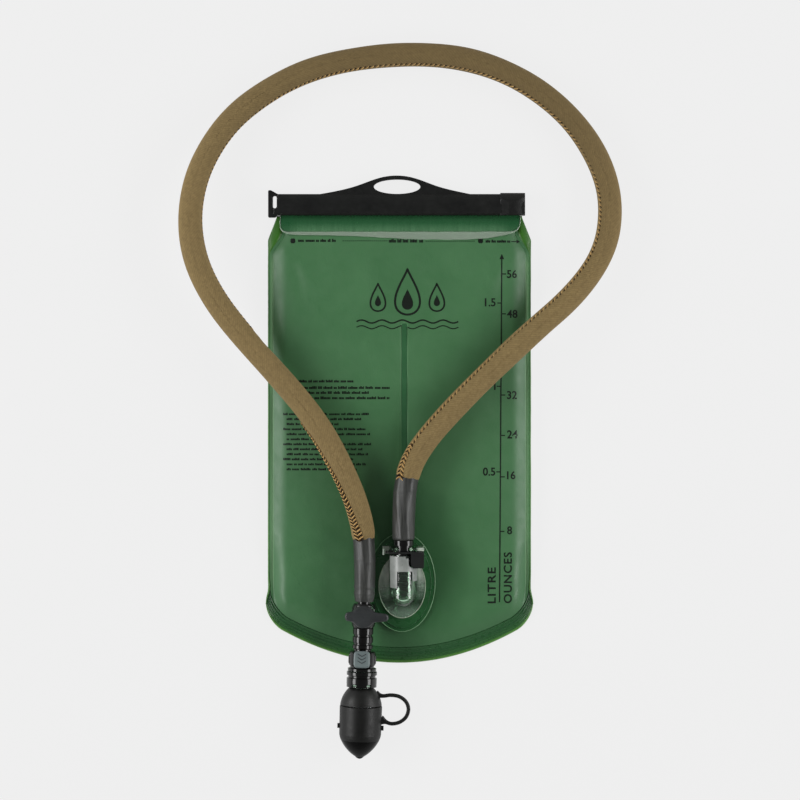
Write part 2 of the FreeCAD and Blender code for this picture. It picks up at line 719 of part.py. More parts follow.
def valve_lever():
    """Round hub with a tapering grip bar across it, longer to the right."""
    hub = Part.makeCylinder(LEVER_HUB_R, 3.0, vec(0, LEVER_V, LEVER_W))
    half_plan = [(LEVER_LEFT_U, 2.5), (-6.0, 3.7), (6.0, 3.9), (LEVER_RIGHT_U, 2.3)]
    upper = [vec(u, LEVER_V + half, LEVER_W) for u, half in half_plan]
    lower = [vec(u, LEVER_V - half, LEVER_W) for u, half in reversed(half_plan)]
    bar = prism(loop(upper + lower), vec(0, 0, 3.4))
    ends = [e for e in bar.Edges if abs(e.tangentAt(0).z) > 0.9 and abs(e.CenterOfMass.x) > 10]
    bar = bar.makeFillet(1.8, ends)
    key_way = box(-2.6, 2.6, LEVER_V - 1.6, LEVER_V + 1.6, LEVER_W - 1, LEVER_W + 2.0)
    lever = hub.fuse(bar).removeSplitter().cut(key_way)
    save("valve_lever", at_stack(lever))


# ---- quick coupling ----

def ribbed_barrel():
    outline = [(-63.4, 5.1), (-63.4, 6.9), (-63.9, 7.4)]
    for v in (-69.0, -75.0):
        outline += [(v + 1.0, 7.4), (v + 0.6, 6.6), (v - 0.6, 6.6), (v - 1.0, 7.4)]
    outline += [(-78.3, 7.4), (-79.0, 6.3), (-80.2, 6.3), (-80.2, 5.1)]
    save("ribbed_barrel", at_stack(turned(outline)))


def coupling_socket():
    outline = [
        (-72.0, PASSAGE_R), (-72.0, 5.0), (-80.3, 5.0), (-80.3, 8.2), (-81.3, 9.3), (-82.8, 9.6),
        (-90.4, 9.6), (-91.0, 8.7), (-92.2, 8.7), (-92.8, 10.3), (-94.6, 10.3),
        (-94.6, 5.6), (-84.6, 5.6), (-84.6, PASSAGE_R),
    ]
    body = turned(outline)
    ears = []
    for side in (-1, 1):
        ear = box(-1.6, 1.6, -89.4, -83.2, -2.6, 3.4)
        rim = [e for e in ear.Edges if abs(e.tangentAt(0).x) < 0.1 and e.CenterOfMass.x * side > 1]
        ear = ear.makeFillet(0.9, rim)
        ear.translate(vec(side * 8.4, 0, 0))
        ears.append(ear)
    pocket = box(-6.6, 6.0, -92.2, -79.2, 6.3, 12)
    solid = body.fuse(ears).removeSplitter()
    save("coupling_socket", at_stack(solid.cut(pocket)))


def coupling_button():
    cap = box(-6.3, 5.7, -91.9, -79.5, 8.1, 11.0)
    upright = [e for e in cap.Edges if abs(e.tangentAt(0).z) > 0.9]
    cap = cap.makeFillet(1.8, upright)
    for i in range(3):
        v = -83.0 - 2.3 * i
        for side in (-1, 1):
            rib = box(-0.35, 3.2, -0.35, 0.35, 10.9, 11.35)
            rib.rotate(vec(0, 0, 0), vec(0, 0, 1), -90 + side * 55)
            rib.translate(vec(-0.3, v, 0))
            cap = cap.fuse(rib)
    save("coupling_button", at_stack(cap.removeSplitter()))
    leaf = wave_spring(0, 1.7, 4.5, 0.3, 0, 6.0, 2)
    leaf.rotate(vec(0, 0, 0), vec(0, 1, 0), -90)
    leaf.translate(vec(-0.3, -90.0, 6.35))
    save("coupling_spring", at_stack(leaf))


def coupling_insert():
    outline = [
        (-84.9, PASSAGE_R), (-84.9, 4.9), (-86.4, 5.3), (-87.2, 5.3), (-87.2, 4.4), (-89.0, 4.4),
        (-89.0, 5.3), (-94.8, 5.3), (-94.8, 9.0), (-97.5, 9.0), (-97.5, 6.0), (-99.0, 6.0),
        (-99.0, 4.3), (-93.0, 4.3), (-93.0, PASSAGE_R),
    ]
    save("coupling_insert", at_stack(turned(outline)))
    seal = o_ring(4.95, 0.58, -88.1)
    save("coupling_seal", at_stack(seal.cut(rod(4.42, vec(0, -90, 0), vec(0, -86, 0)))))


def swivel_nut():
    outline = [
        (-94.9, 9.1), (-94.9, 10.3), (-95.4, 10.95), (-97.6, 10.95), (-98.1, 9.9),
        (-99.3, 9.9), (-99.8, 10.95), (-106.3, 10.95), (-106.3, 8.9),
        (-103.5, 8.9), (-103.5, 7.4), (-101.7, 7.4), (-101.7, 8.7), (-97.6, 8.7), (-97.6, 9.1),
    ]
    nut = turned(outline)
    notches = 6
    for i in range(notches):
        cut = box(-1.8, 1.8, -106.6, -103.9, 8, 12)
        cut.rotate(vec(0, 0, 0), vec(0, 1, 0), 360 * (i + 0.5) / notches)
        nut = nut.cut(cut)
    save("swivel_nut", at_stack(nut))


# ---- bite valve and its dust cover ----

def swivel_stem():
    outline = [
        (-93.3, PASSAGE_R), (-93.3, 4.0), (-99.2, 4.0), (-99.2, 8.4), (-101.3, 8.4), (-101.3, 7.1),
        (-107.2, 7.1), (-107.2, 7.0), (-109.0, 7.0), (-109.0, 5.0), (-118.0, 5.0),
        (-119.0, 5.5), (-124.0, 4.4), (-124.0, PASSAGE_R),
    ]
    save("swivel_stem", at_stack(turned(outline)))


def bite_valve():
    outer = [
        line(vec(5.05, -111.0, 0), vec(8.0, -111.0, 0)),
        line(vec(8.0, -111.0, 0), vec(8.4, -124.0, 0)),
        arc(vec(8.4, -124.0, 0), vec(7.4, -134.0, 0), vec(0, -140.0, 0)),
        line(vec(0, -140.0, 0), vec(0, -138.4, 0)),
        arc(vec(0, -138.4, 0), vec(5.6, -133.0, 0), vec(6.4, -124.5, 0)),
        line(vec(6.4, -124.5, 0), vec(5.6, -119.0, 0)),
        line(vec(5.6, -119.0, 0), vec(5.05, -117.8, 0)),
        line(vec(5.05, -117.8, 0), vec(5.05, -111.0, 0)),
    ]
    slit = box(-4.0, 4.0, -141, -135.5, -0.2, 0.2)
    save("bite_valve", at_stack(turned_edges(outer).cut(slit)))


def dome_arc(inset):
    """The upper dome's curve from its neck to its rim, set in by a wall thickness."""
    return arc(
        vec(8.6 - inset * 0.6, -106.9 - inset * 1.1, 0),
        vec(12.2 - inset * 0.75, -111.3 - inset * 0.8, 0),
        vec(15.0 - inset, -119.6, 0),
    )


def cover_collar():
    wall = 1.6
    outer, inner = dome_arc(0), dome_arc(wall)
    neck, rim = outer.Vertexes[0].Point, outer.Vertexes[-1].Point
    inner_neck, inner_rim = inner.Vertexes[0].Point, inner.Vertexes[-1].Point
    corner = vec(7.2, neck.y, 0)
    seat = vec(7.2, inner_neck.y, 0)
    edges = [
        outer,
        line(rim, inner_rim),
        inner,
        line(inner_neck, seat),
        line(seat, corner),
        line(corner, neck),
    ]
    save("cover_collar", at_stack(turned_edges(edges)))


def dust_cap():
    inner = CAP_R - 1.5
    outline = [
        (-120.2, CAP_R - 0.3), (-120.6, CAP_R), (-141.0, CAP_R - 0.2), (-143.2, CAP_R - 0.7),
        (-145.0, CAP_R - 1.4), (-145.0, 0.0), (-143.2, 0.0), (-142.6, inner - 1.0),
        (-141.4, inner), (-120.2, inner),
    ]
    cap = turned(outline)
    nubs = [
        rod(1.8, vec(-16.6, -135.0, 0), vec(-14.6, -135.0, 0)),
        rod(1.8, vec(14.6, -136.0, 0), vec(16.8, -136.0, 0)),
    ]
    save("dust_cap", at_stack(cap.fuse(nubs).removeSplitter()))


def cap_nose():
    edges = [
        line(vec(0, -145.0, 0), vec(13.9, -145.0, 0)),
        arc(vec(13.9, -145.0, 0), vec(10.1, -151.0, 0), vec(3.2, -157.0, 0)),
        arc(vec(3.2, -157.0, 0), vec(2.0, -158.1, 0), vec(0.6, -158.7, 0)),
        line(vec(0.6, -158.7, 0), vec(0, -158.7, 0)),
        line(vec(0, -158.7, 0), vec(0, -145.0, 0)),
    ]
    save("cap_nose", at_stack(turned_edges(edges)))


def dome_room(gap):
    """Everything inside the upper dome, grown by a gap."""
    curve = dome_arc(-gap)
    neck, rim = curve.Vertexes[0].Point, curve.Vertexes[-1].Point
    foot = vec(rim.x, -120.1, 0)
    edges = [
        curve,
        line(rim, foot),
        line(foot, vec(0, foot.y, 0)),
        line(vec(0, foot.y, 0), vec(0, neck.y, 0)),
        line(vec(0, neck.y, 0), neck),
    ]
    return turned_edges(edges)


def tether():
    """Pull ring on the dust cap and the strap that ties it to the upper dome."""
    ring = Part.makeTorus(RING_MID_R, RING_WIRE_R, vec(RING_U, RING_V, 0))
    cap_strap = box(14.5, 17.5, -131.5, -125.5, -1.2, 1.2)
    hole = Part.makeCylinder(RING_MID_R, 6, vec(RING_U, RING_V, -3))
    cap_room = rod(CAP_R, vec(0, -119.9, 0), vec(0, -145, 0))
    grip = ring.fuse(cap_strap.cut(hole)).removeSplitter().cut(cap_room).cut(dome_room(0.4))
    save("tether_ring", at_stack(grip))
    strap = box(11.0, 19.5, -115.6, -111.6, -1.2, 1.2)
    around_ring = Part.makeCylinder(RING_MID_R + RING_WIRE_R + 0.1, 6, vec(RING_U, RING_V, -3))
    save("tether_strap", at_stack(strap.cut(dome_room(0.02)).cut(around_ring)))


def main():
    os.makedirs("parts", exist_ok=True)
    reservoir()
    bottom_hem()
    mouth()
    slider()
    port_base()
    port_housing()
    port_collar()
    release_latch()
    release_spring()
    port_plug()
    drink_tube()
    valve_body()
    valve_spool()
    valve_lever()
    ribbed_barrel()
    coupling_socket()
    coupling_button()
    coupling_insert()
    swivel_nut()
    swivel_stem()
    bite_valve()
    cover_collar()
    dust_cap()
    cap_nose()
    tether()


main()
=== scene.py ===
import bpy
import math
import numpy as np
from mathutils import Matrix, Vector


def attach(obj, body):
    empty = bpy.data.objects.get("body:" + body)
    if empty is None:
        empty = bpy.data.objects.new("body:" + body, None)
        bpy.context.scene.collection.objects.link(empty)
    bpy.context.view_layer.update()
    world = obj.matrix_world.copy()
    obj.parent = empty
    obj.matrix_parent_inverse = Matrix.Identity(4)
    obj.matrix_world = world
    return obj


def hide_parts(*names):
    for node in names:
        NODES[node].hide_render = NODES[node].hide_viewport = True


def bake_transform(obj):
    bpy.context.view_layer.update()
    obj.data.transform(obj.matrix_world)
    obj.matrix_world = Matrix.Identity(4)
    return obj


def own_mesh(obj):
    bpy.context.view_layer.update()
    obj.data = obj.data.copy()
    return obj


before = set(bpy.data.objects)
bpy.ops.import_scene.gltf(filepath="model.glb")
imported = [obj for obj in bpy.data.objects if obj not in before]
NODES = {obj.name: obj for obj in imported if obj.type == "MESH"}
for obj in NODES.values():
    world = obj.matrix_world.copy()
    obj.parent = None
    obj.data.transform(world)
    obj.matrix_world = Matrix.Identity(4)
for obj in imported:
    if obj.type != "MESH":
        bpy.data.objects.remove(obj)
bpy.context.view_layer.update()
MM = 0.001
UP = np.array([0, 0, 1.0])

# Everything below is laid out in millimetres in the object's frame: +X right, +Y to the mouth, +Z up.
SLOPE = math.tan(math.radians(4.0))
SIDE_X = 94.2
CORNER_X = 96.7
SEAM_X = 93.6
MOUTH_Y = 147.6
FLANGE_W = 2.6           # flat weld beside each edge of the front film
WELD_X = 3.5             # the centre weld, and its two ends
WELD_TOP_Y = 67.2
WELD_LOW_Y = -78.0
HEM_CORNER_Y = -124.0    # where the sides start to turn into the hem
LEVER_RIGHT = 18.1       # reach of the shut-off lever's two grips, and its hub
LEVER_LEFT = 13.4
LEVER_HUB_R = 8.2
LEVER_V = -54.85         # the lever's place along the coupling

PORT_AXIS = Matrix.Translation((3.0, -87.0, 24.613)) @ Matrix.Rotation(math.radians(4.0), 4, "X")
STACK_AXIS = (
    Matrix.Translation((-24.2, -86.7, 25.7))
    @ Matrix.Rotation(math.radians(-1.7), 4, "Z")
    @ Matrix.Rotation(math.radians(4.0), 4, "X")
)

# The drink tube's route, from the exit port over the top to the shut-off valve
ROUTE = [
    (3.0, -75.029, 25.45), (3.0, -47.0, 27.41), (13.0, -21.5, 28.2), (45.0, 14.5, 27.7),
    (92.0, 60.0, 25.0), (128.0, 91.0, 19.5), (149.0, 122.0, 14.0), (153.5, 155.0, 10.6),
    (146.0, 185.0, 9.2), (127.0, 215.0, 8.95), (99.0, 239.5, 8.95), (66.0, 256.0, 8.95),
    (32.0, 263.5, 8.95), (-12.0, 263.5, 8.95), (-58.0, 255.5, 9.2), (-92.0, 240.0, 11.0),
    (-123.0, 216.5, 14.6), (-143.5, 185.0, 18.6), (-152.0, 152.0, 21.6), (-149.0, 119.0, 23.6),
    (-136.0, 89.5, 25.0), (-113.0, 59.5, 26.2), (-85.0, 29.0, 27.2), (-61.0, 0.5, 27.8),
    (-43.0, -31.0, 27.8), (-30.5, -60.0, 27.0), (-24.238, -87.996, 25.609), (-25.088, -116.614, 23.607),
]
HOSE_R = 8.75
PLUG_SLEEVE_END_Y = -43.3
VALVE_SLEEVE_END_Y = -86.7
SLEEVE_LAP = 3.5         # how far the knit cover runs under each sleeve


# ---- camera and light ----

def make_camera():
    distance, width = 4.0, 0.5768
    data = bpy.data.cameras.new("camera")
    data.sensor_width = 36.0
    data.lens = 36.0 * distance / width
    cam = bpy.data.objects.new("camera", data)
    cam.location = (0.0004, 0.0139, 0.018 + distance)
    bpy.context.scene.collection.objects.link(cam)
    bpy.context.scene.camera = cam


def soft_box(name, across, tall, radiance):
    """A rectangular area light of the given radiance."""
    data = bpy.data.lights.new(name, "AREA")
    data.shape = "RECTANGLE"
    data.size = across
    data.size_y = tall
    data.energy = radiance * math.pi * across * tall
    lamp = bpy.data.objects.new(name, data)
    bpy.context.scene.collection.objects.link(lamp)
    return lamp


def side_light(name, x, height, length, tall, radiance):
    """A long low soft box beside the object, parallel to Y."""
    inward = Vector((-x, 0, -height)).normalized()
    along = Vector((0, 1, 0))
    turn = Matrix((along, (-inward).cross(along), -inward)).transposed()
    lamp = soft_box(name, length, tall, radiance)
    lamp.matrix_world = Matrix.Translation((x, 0.014, height)) @ turn.to_4x4()


def head_light(name, at, across, tall, radiance):
    """A weak soft box beyond the mouth, which doesn't show in gloss or through clear plastic."""
    lamp = soft_box(name, across, tall, radiance)
    lamp.location = at
    lamp.rotation_mode = "QUATERNION"
    lamp.rotation_quaternion = (-Vector(at)).to_track_quat("-Z", "Y")
    lamp.visible_glossy = False
    lamp.visible_transmission = False


def make_lights():
    """A dim room, darker overhead, with a tall soft box on each side."""
    world = bpy.data.worlds.new("studio")
    world.use_nodes = True
    tree = world.node_tree
    ground = tree.nodes["Background"]
    ground.inputs["Color"].default_value = (1.0, 0.995, 0.985, 1.0)
    way = tree.nodes.new("ShaderNodeTexCoord")
    parts = tree.nodes.new("ShaderNodeSeparateXYZ")
    fade = tree.nodes.new("ShaderNodeMapRange")
    fade.inputs["To Min"].default_value = 0.5
    fade.inputs["To Max"].default_value = 0.14
    tree.links.new(way.outputs["Generated"], parts.inputs[0])
    tree.links.new(parts.outputs[2], fade.inputs["Value"])
    tree.links.new(fade.outputs["Result"], ground.inputs["Strength"])
    bpy.context.scene.world = world
    side_light("softbox_left", -1.7, 1.0, 2.2, 0.75, 7.2)
    side_light("softbox_right", 1.7, 1.0, 2.2, 0.75, 6.4)
    head_light("softbox_head", (0.0, 1.9, 1.5), 1.8, 0.6, 1.8)
    bpy.context.scene.view_settings.view_transform = "Standard"


# ---- materials ----

LIGHT_LEVEL = 1.12       # how brightly the studio lights a white level surface


def rgb(r, g, b):
    """Base colour that shows as these display values under the studio's light."""
    values = []
    for c in (r, g, b):
        c = c / 255
        linear = c / 12.92 if c <= 0.04045 else ((c + 0.055) / 1.055) ** 2.4
        values.append(linear / LIGHT_LEVEL)
    return (*values, 1.0)


class Look:
    """A node material under construction."""

    def __init__(self, name, **sockets):
        self.mat = bpy.data.materials.new(name)
        self.mat.use_nodes = True
        self.tree = self.mat.node_tree
        self.tree.nodes.clear()
        out = self.add("OutputMaterial")
        self.shader = self.add("BsdfPrincipled")
        self.link(self.shader.outputs["BSDF"], out.inputs["Surface"])
        for key, value in sockets.items():
            self.shader.inputs[key.replace("_", " ")].default_value = value
        self.normal = None

    def add(self, kind, **settings):
        node = self.tree.nodes.new("ShaderNode" + kind)
        for key, value in settings.items():
            setattr(node, key, value)
        return node

    def link(self, source, target):
        self.tree.links.new(source, target)

    def place(self, stretch=(1, 1, 1)):
        """Object coordinates, scaled by axis."""
        mapping = self.add("Mapping")
        mapping.inputs["Scale"].default_value = stretch
        self.link(self.add("TexCoord").outputs["Object"], mapping.inputs["Vector"])
        return mapping.outputs["Vector"]

    def noise(self, scale, detail=3.0, rough=0.55, where=None, twist=0.0):
        node = self.add("TexNoise")
        node.inputs["Scale"].default_value = scale
        node.inputs["Detail"].default_value = detail
        node.inputs["Roughness"].default_value = rough
        node.inputs["Distortion"].default_value = twist
        self.link(where or self.place(), node.inputs["Vector"])
        return node.outputs["Fac"]

    def ramp(self, source, stops):
        node = self.add("ValToRGB")
        band = node.color_ramp
        band.elements[0].position, band.elements[0].color = stops[0]
        band.elements[1].position, band.elements[1].color = stops[-1]
        for position, colour in stops[1:-1]:
            band.elements.new(position).color = colour
        self.link(source, node.inputs["Fac"])
        return node.outputs["Color"]

    def span(self, source, low, high, start=0.3, end=0.7):
        node = self.add("MapRange")
        for key, value in (("From Min", start), ("From Max", end), ("To Min", low), ("To Max", high)):
            node.inputs[key].default_value = value
        self.link(source, node.inputs["Value"])
        return node.outputs["Result"]

    def axes(self, kind="UV"):
        """The separate x, y and z of a texture coordinate."""
        parts = self.add("SeparateXYZ")
        self.link(self.add("TexCoord").outputs[kind], parts.inputs[0])
        return tuple(parts.outputs)

    def window(self, source, rise, fall):
        """1 between two slopes, each given by where it starts and ends."""
        return self.times(self.span(source, 0.0, 1.0, *rise), self.span(source, 1.0, 0.0, *fall))

    def calc(self, operation, a, b=None):
        node = self.add("Math", operation=operation)
        for i, value in enumerate((a, b)):
            if isinstance(value, (int, float)):
                node.inputs[i].default_value = value
            elif value is not None:
                self.link(value, node.inputs[i])
        return node.outputs[0]

    def times(self, first, *others):
        for other in others:
            first = self.calc("MULTIPLY", first, other)
        return first

    def mix(self, factor, a, b):
        node = self.add("Mix", data_type="RGBA")
        for i, value in ((0, factor), (6, a), (7, b)):
            if isinstance(value, (int, float, tuple)):
                node.inputs[i].default_value = value
            else:
                self.link(value, node.inputs[i])
        return node.outputs[2]

    def bevel(self, radius):
        node = self.add("Bevel", samples=4)
        node.inputs["Radius"].default_value = radius
        self.normal = node.outputs["Normal"]

    def bump(self, height, strength, distance):
        node = self.add("Bump")
        node.inputs["Strength"].default_value = strength
        node.inputs["Distance"].default_value = distance
        self.link(height, node.inputs["Height"])
        if self.normal:
            self.link(self.normal, node.inputs["Normal"])
        self.normal = node.outputs["Normal"]

    def set(self, socket, source):
        self.link(source, self.shader.inputs[socket])

    def paint(self, source, dark, light, rough, high=0.7):
        """Colour and roughness that follow one pattern."""
        self.set("Base Color", self.ramp(source, [(0.3, dark), (high, light)]))
        self.set("Roughness", self.span(source, *rough))

    def done(self):
        if self.normal:
            self.link(self.normal, self.shader.inputs["Normal"])
        return self.mat


def film_look(name, dark, light, rough=(0.38, 0.54), grain=0.12, paint=None):
    """Welded plastic film: cloudy colour, fine satin grain and a soft clear sheen."""
    look = Look(name, Coat_Weight=0.1, Coat_Roughness=0.3, Specular_IOR_Level=0.35)
    cloud = look.noise(28.0, 4.0, 0.6, twist=0.4)
    colour = look.ramp(cloud, [(0.3, dark), (0.7, light)])
    look.set("Base Color", paint(look, colour) if paint else colour)
    look.set("Roughness", look.span(look.noise(160.0, 3.0), *rough))
    look.bump(look.noise(1500.0, 2.0), grain, 0.00012)
    look.bump(look.noise(90.0, 3.0, twist=0.8), 0.25, 0.0004)
    return look.done()


def front_paint(look, colour):
    """Painted shade round the exit port, where the hose and port cast shadow; deeper green along the centre
    weld; a paler band along each side edge, partly painted highlight. UV is the place in mm.
    """
    x, y, _ = look.axes()
    # painted shade: an oval round the exit port, darkened towards deep green
    across = look.calc("POWER", look.times(look.calc("SUBTRACT", x, 8.0), 1 / 44.0), 2.0)
    along = look.calc("POWER", look.times(look.calc("ADD", y, 108.0), 1 / 66.0), 2.0)
    shade = look.span(look.calc("ADD", across, along), 0.72, 0.0, 0.05, 1.0)
    colour = look.mix(shade, colour, rgb(22, 72, 32))
    aside = look.calc("POWER", look.calc("SUBTRACT", x, WELD_X), 2.0)
    above = look.calc("POWER", look.calc("MAXIMUM", look.calc("SUBTRACT", y, WELD_TOP_Y), 0.0), 2.0)
    off = look.calc("POWER", look.calc("ADD", aside, above), 0.5)
    weld = look.span(y, 0.0, 1.0, WELD_LOW_Y - 2.0, WELD_LOW_Y + 2.0)
    strip = look.times(look.span(off, 0.85, 0.0, 1.55, 2.05), weld)
    colour = look.mix(strip, colour, rgb(44, 90, 64))
    rim = look.times(look.window(off, (1.9, 2.3), (2.4, 2.9)), weld, 0.3)
    colour = look.mix(rim, colour, rgb(104, 150, 108))
    # partly the flat weld's paler film, partly painted highlight: a lighter band along each side edge of the
    # front film
    edge = look.window(look.calc("ABSOLUTE", x), (90.6, 91.4), (93.0, 93.8))
    side = look.times(edge, look.window(y, (-128.0, -110.0), (112.0, 122.0)), 0.75)
    return look.mix(side, colour, rgb(106, 146, 104))


def flap_paint(look, colour):
    """Painted shade: the flap is deep green under the seal and at its two ends, and paler towards its lip."""
    x, y, _ = look.axes()
    # painted shade under the slide bar's seal, fading out towards the lip
    down = look.ramp(look.span(y, 1.0, 0.0, 134.0, 147.0), [
        (0.0, rgb(20, 68, 36)), (0.4, rgb(38, 88, 52)), (0.75, rgb(74, 118, 82)), (1.0, rgb(96, 138, 100)),
    ])
    # painted shade at the flap's two ends
    ends = look.span(look.calc("ABSOLUTE", x), 0.0, 0.6, 72.0, 80.0)
    down = look.mix(ends, down, rgb(20, 76, 40))
    streak = look.noise(1.0, 3.0, 0.6, look.place((700, 40, 40)))
    return look.mix(look.span(streak, 0.0, 0.35), down, rgb(20, 70, 36))


def plastic_look(name, dark, light, rough, edge, **sockets):
    """Moulded plastic: slight colour drift, fine skin texture, softened edges, handling scuffs."""
    look = Look(name, **sockets)
    look.bevel(edge)
    tone = look.noise(70.0, 3.0)
    scuff = look.noise(420.0, 6.0, 0.7, look.place((1, 0.35, 1)), 1.2)
    worn = look.span(scuff, 0.0, 0.35, 0.62, 0.74)
    colour = look.ramp(tone, [(0.3, dark), (0.7, light)])
    pale = tuple(min(1.0, c * 1.8 + 0.008) for c in light[:3]) + (1.0,)
    look.set("Base Color", look.mix(worn, colour, pale))
    look.set("Roughness", look.span(look.noise(260.0, 4.0), *rough))
    look.bump(look.noise(2400.0, 2.0), 0.1, 0.00008)
    return look.done()


def knit_look():
    """Knitted tube cover: fine ribs, mottled yarn, brushed fuzz; painted shade in the low places between the
    loops and along the middle of the hose.
    """
    look = Look("tan_knit", Sheen_Weight=0.15, Sheen_Roughness=0.5, Specular_IOR_Level=0.2)
    look.shader.inputs["Sheen Tint"].default_value = rgb(205, 180, 140)
    u, v, _ = look.axes()
    turn = 2 * math.pi
    rib = look.calc("SINE", look.times(u, turn / 1.15))
    course = look.calc("SINE", look.times(v, turn / 0.95))
    slant = look.calc("SINE", look.times(look.calc("ADD", u, v), turn / 2.3))
    loops = look.calc("ADD", look.times(rib, course), look.times(slant, 0.5))
    height = look.span(loops, 0.0, 1.0, -1.5, 1.5)
    mottle = look.noise(420.0, 4.0, 0.7, twist=0.3)
    yarn = look.ramp(mottle, [(0.3, rgb(124, 105, 69)), (0.5, rgb(137, 117, 78)), (0.72, rgb(149, 128, 86))])
    # painted shade: the cover is darker along the middle of the hose, round the top of its loop, about 455 mm
    # along it
    crown = look.calc("ABSOLUTE", look.calc("SUBTRACT", v, 455.0))
    yarn = look.mix(look.span(crown, 0.5, 0.0, 90.0, 230.0), yarn, rgb(90, 76, 50))
    # painted shade: the yarn is darker in the low places of the knit pattern
    deep = look.mix(look.span(height, 0.4, 0.0, 0.1, 0.7), yarn, rgb(74, 60, 38))
    look.set("Base Color", deep)
    look.set("Roughness", look.span(mottle, 0.86, 0.97))
    look.bump(height, 0.55, 0.00035)
    look.bump(look.noise(900.0, 3.0, 0.7), 0.35, 0.0002)
    return look.done()


def sleeve_look():
    """Shrunk rubbery tube with faint streaks along it."""
    look = Look("shrink_sleeve", Specular_IOR_Level=0.4, Coat_Weight=0.12, Coat_Roughness=0.25)
    streak = look.noise(1.0, 4.0, 0.6, look.place((900, 60, 900)))
    look.paint(streak, rgb(38, 39, 38), rgb(56, 58, 55), (0.36, 0.55), 0.72)
    look.bump(streak, 0.35, 0.0004)
    look.bump(look.noise(1800.0, 2.0), 0.2, 0.0001)
    return look.done()


def hem_look():
    """Welded hem: pressed lines along the band, a paler yellowish rim."""
    look = Look("hem_film", Specular_IOR_Level=0.4, Coat_Weight=0.2, Coat_Roughness=0.2)
    across = look.ramp(look.axes()[0], [
        (0.0, rgb(20, 58, 28)), (0.1, rgb(44, 88, 50)), (0.45, rgb(34, 80, 42)),
        (0.8, rgb(44, 92, 44)), (0.9, rgb(78, 128, 52)), (1.0, rgb(96, 148, 66)),
    ])
    cloud = look.noise(120.0, 4.0, 0.6, twist=0.6)
    look.set("Base Color", look.mix(look.span(cloud, 0.0, 0.2), across, rgb(30, 74, 36)))
    look.set("Roughness", look.span(look.noise(300.0, 3.0), 0.22, 0.42))
    look.bump(look.noise(600.0, 3.0), 0.35, 0.0003)
    return look.done()


def ink_look():
    look = Look("print_ink", Specular_IOR_Level=0.25)
    speck = look.noise(2600.0, 3.0, 0.6)
    look.paint(speck, rgb(5, 11, 7), rgb(15, 27, 17), (0.45, 0.65), 0.75)
    return look.done()


def clear_look(name, tint, milk, rough, cloud=None):
    """Clear moulded plastic with faint flow marks; milk is the share that scatters."""
    look = Look(name, IOR=1.46, Transmission_Weight=1.0 - milk, Coat_Weight=0.6, Coat_Roughness=0.04)
    flow = look.noise(60.0, 4.0, 0.55, look.place((1, 0.4, 1)), 0.7)
    white = tuple(min(1.0, c * 1.04) for c in tint) + (1.0,)
    look.paint(flow, (*tint, 1.0), white, rough)
    look.bump(flow, 0.12, 0.0004)
    if cloud:
        cloud(look, flow)
    return look.done()


def port_cloud(look, flow):
    """Painted highlight: the port's clear plastic turns milky white along its two flanks. Its foot is hazy,
    partly real haze and partly painted light, a greenish colour for the lit flange seen through it.
    """
    x, y, _ = look.axes("Object")
    aside = look.calc("ABSOLUTE", look.calc("SUBTRACT", x, 0.003))
    # painted highlight: milky white along the two flanks of the port's upper part, where the bright
    # reflections run
    flank_highlight = look.span(aside, 0.0, 1.0, 0.0088, 0.0112)
    high = look.span(y, 0.0, 1.0, -0.132, -0.112)
    milk = look.times(flank_highlight, high, look.span(flow, 0.25, 0.95))
    # partly real haze, partly painted light: the foot scatters a greenish colour for the lit flange seen
    # through it
    haze = look.span(y, 0.17, 0.004, -0.1395, -0.132)
    clear = look.calc("SUBTRACT", look.calc("SUBTRACT", 1.0, haze), look.times(milk, 0.8))
    look.set("Transmission Weight", clear)
    # cream white on the flanks is painted highlight; the greenish colour that shows in the hazy foot is
    # painted light
    look.set("Base Color", look.mix(milk, (0.66, 0.93, 0.72, 1.0), (0.97, 0.95, 0.88, 1.0)))


def thread_look(name, dark, light, sheen):
    look = Look(name, Sheen_Weight=sheen, Specular_IOR_Level=0.15)
    twist = look.noise(1500.0, 3.0, 0.6, twist=1.0)
    look.paint(twist, dark, light, (0.7, 0.92))
    look.bump(twist, 0.6, 0.0002)
    return look.done()


def metal_look():
    look = Look("spring_wire", Metallic=1.0)
    scratch = look.noise(900.0, 5.0, 0.6, look.place((1, 0.2, 1)))
    look.paint(scratch, rgb(150, 150, 148), rgb(196, 196, 192), (0.22, 0.4))
    look.bump(scratch, 0.2, 0.0001)
    return look.done()


def floor_look():
    """Pale paper that glows a little, so that it stays even right up to the object."""
    look = Look("pale_floor", Specular_IOR_Level=0.1)
    paper = look.noise(8.0, 5.0)
    look.paint(paper, (0.036, 0.036, 0.036, 1.0), (0.04, 0.04, 0.04, 1.0), (0.85, 0.95))
    look.shader.inputs["Emission Color"].default_value = (1.0, 1.0, 1.0, 1.0)
    look.shader.inputs["Emission Strength"].default_value = 0.815
    return look.done()


# Films: name, dark and light display values, roughness
FILMS = {
    "weld": ("inner_weld", (34, 80, 46), (42, 92, 54), (0.38, 0.54)),
    "back": ("green_back_film", (50, 92, 56), (60, 104, 66), (0.38, 0.54)),
    "gusset": ("gusset_film", (40, 92, 18), (56, 114, 26), (0.38, 0.54)),
    "flange": ("flange_film", (30, 78, 40), (40, 92, 50), (0.24, 0.36)),
    # ridge: the pale green is a painted highlight along the flange's oval ridge
    "ridge": ("flange_ridge", (78, 124, 84), (120, 158, 120), (0.2, 0.3)),
}

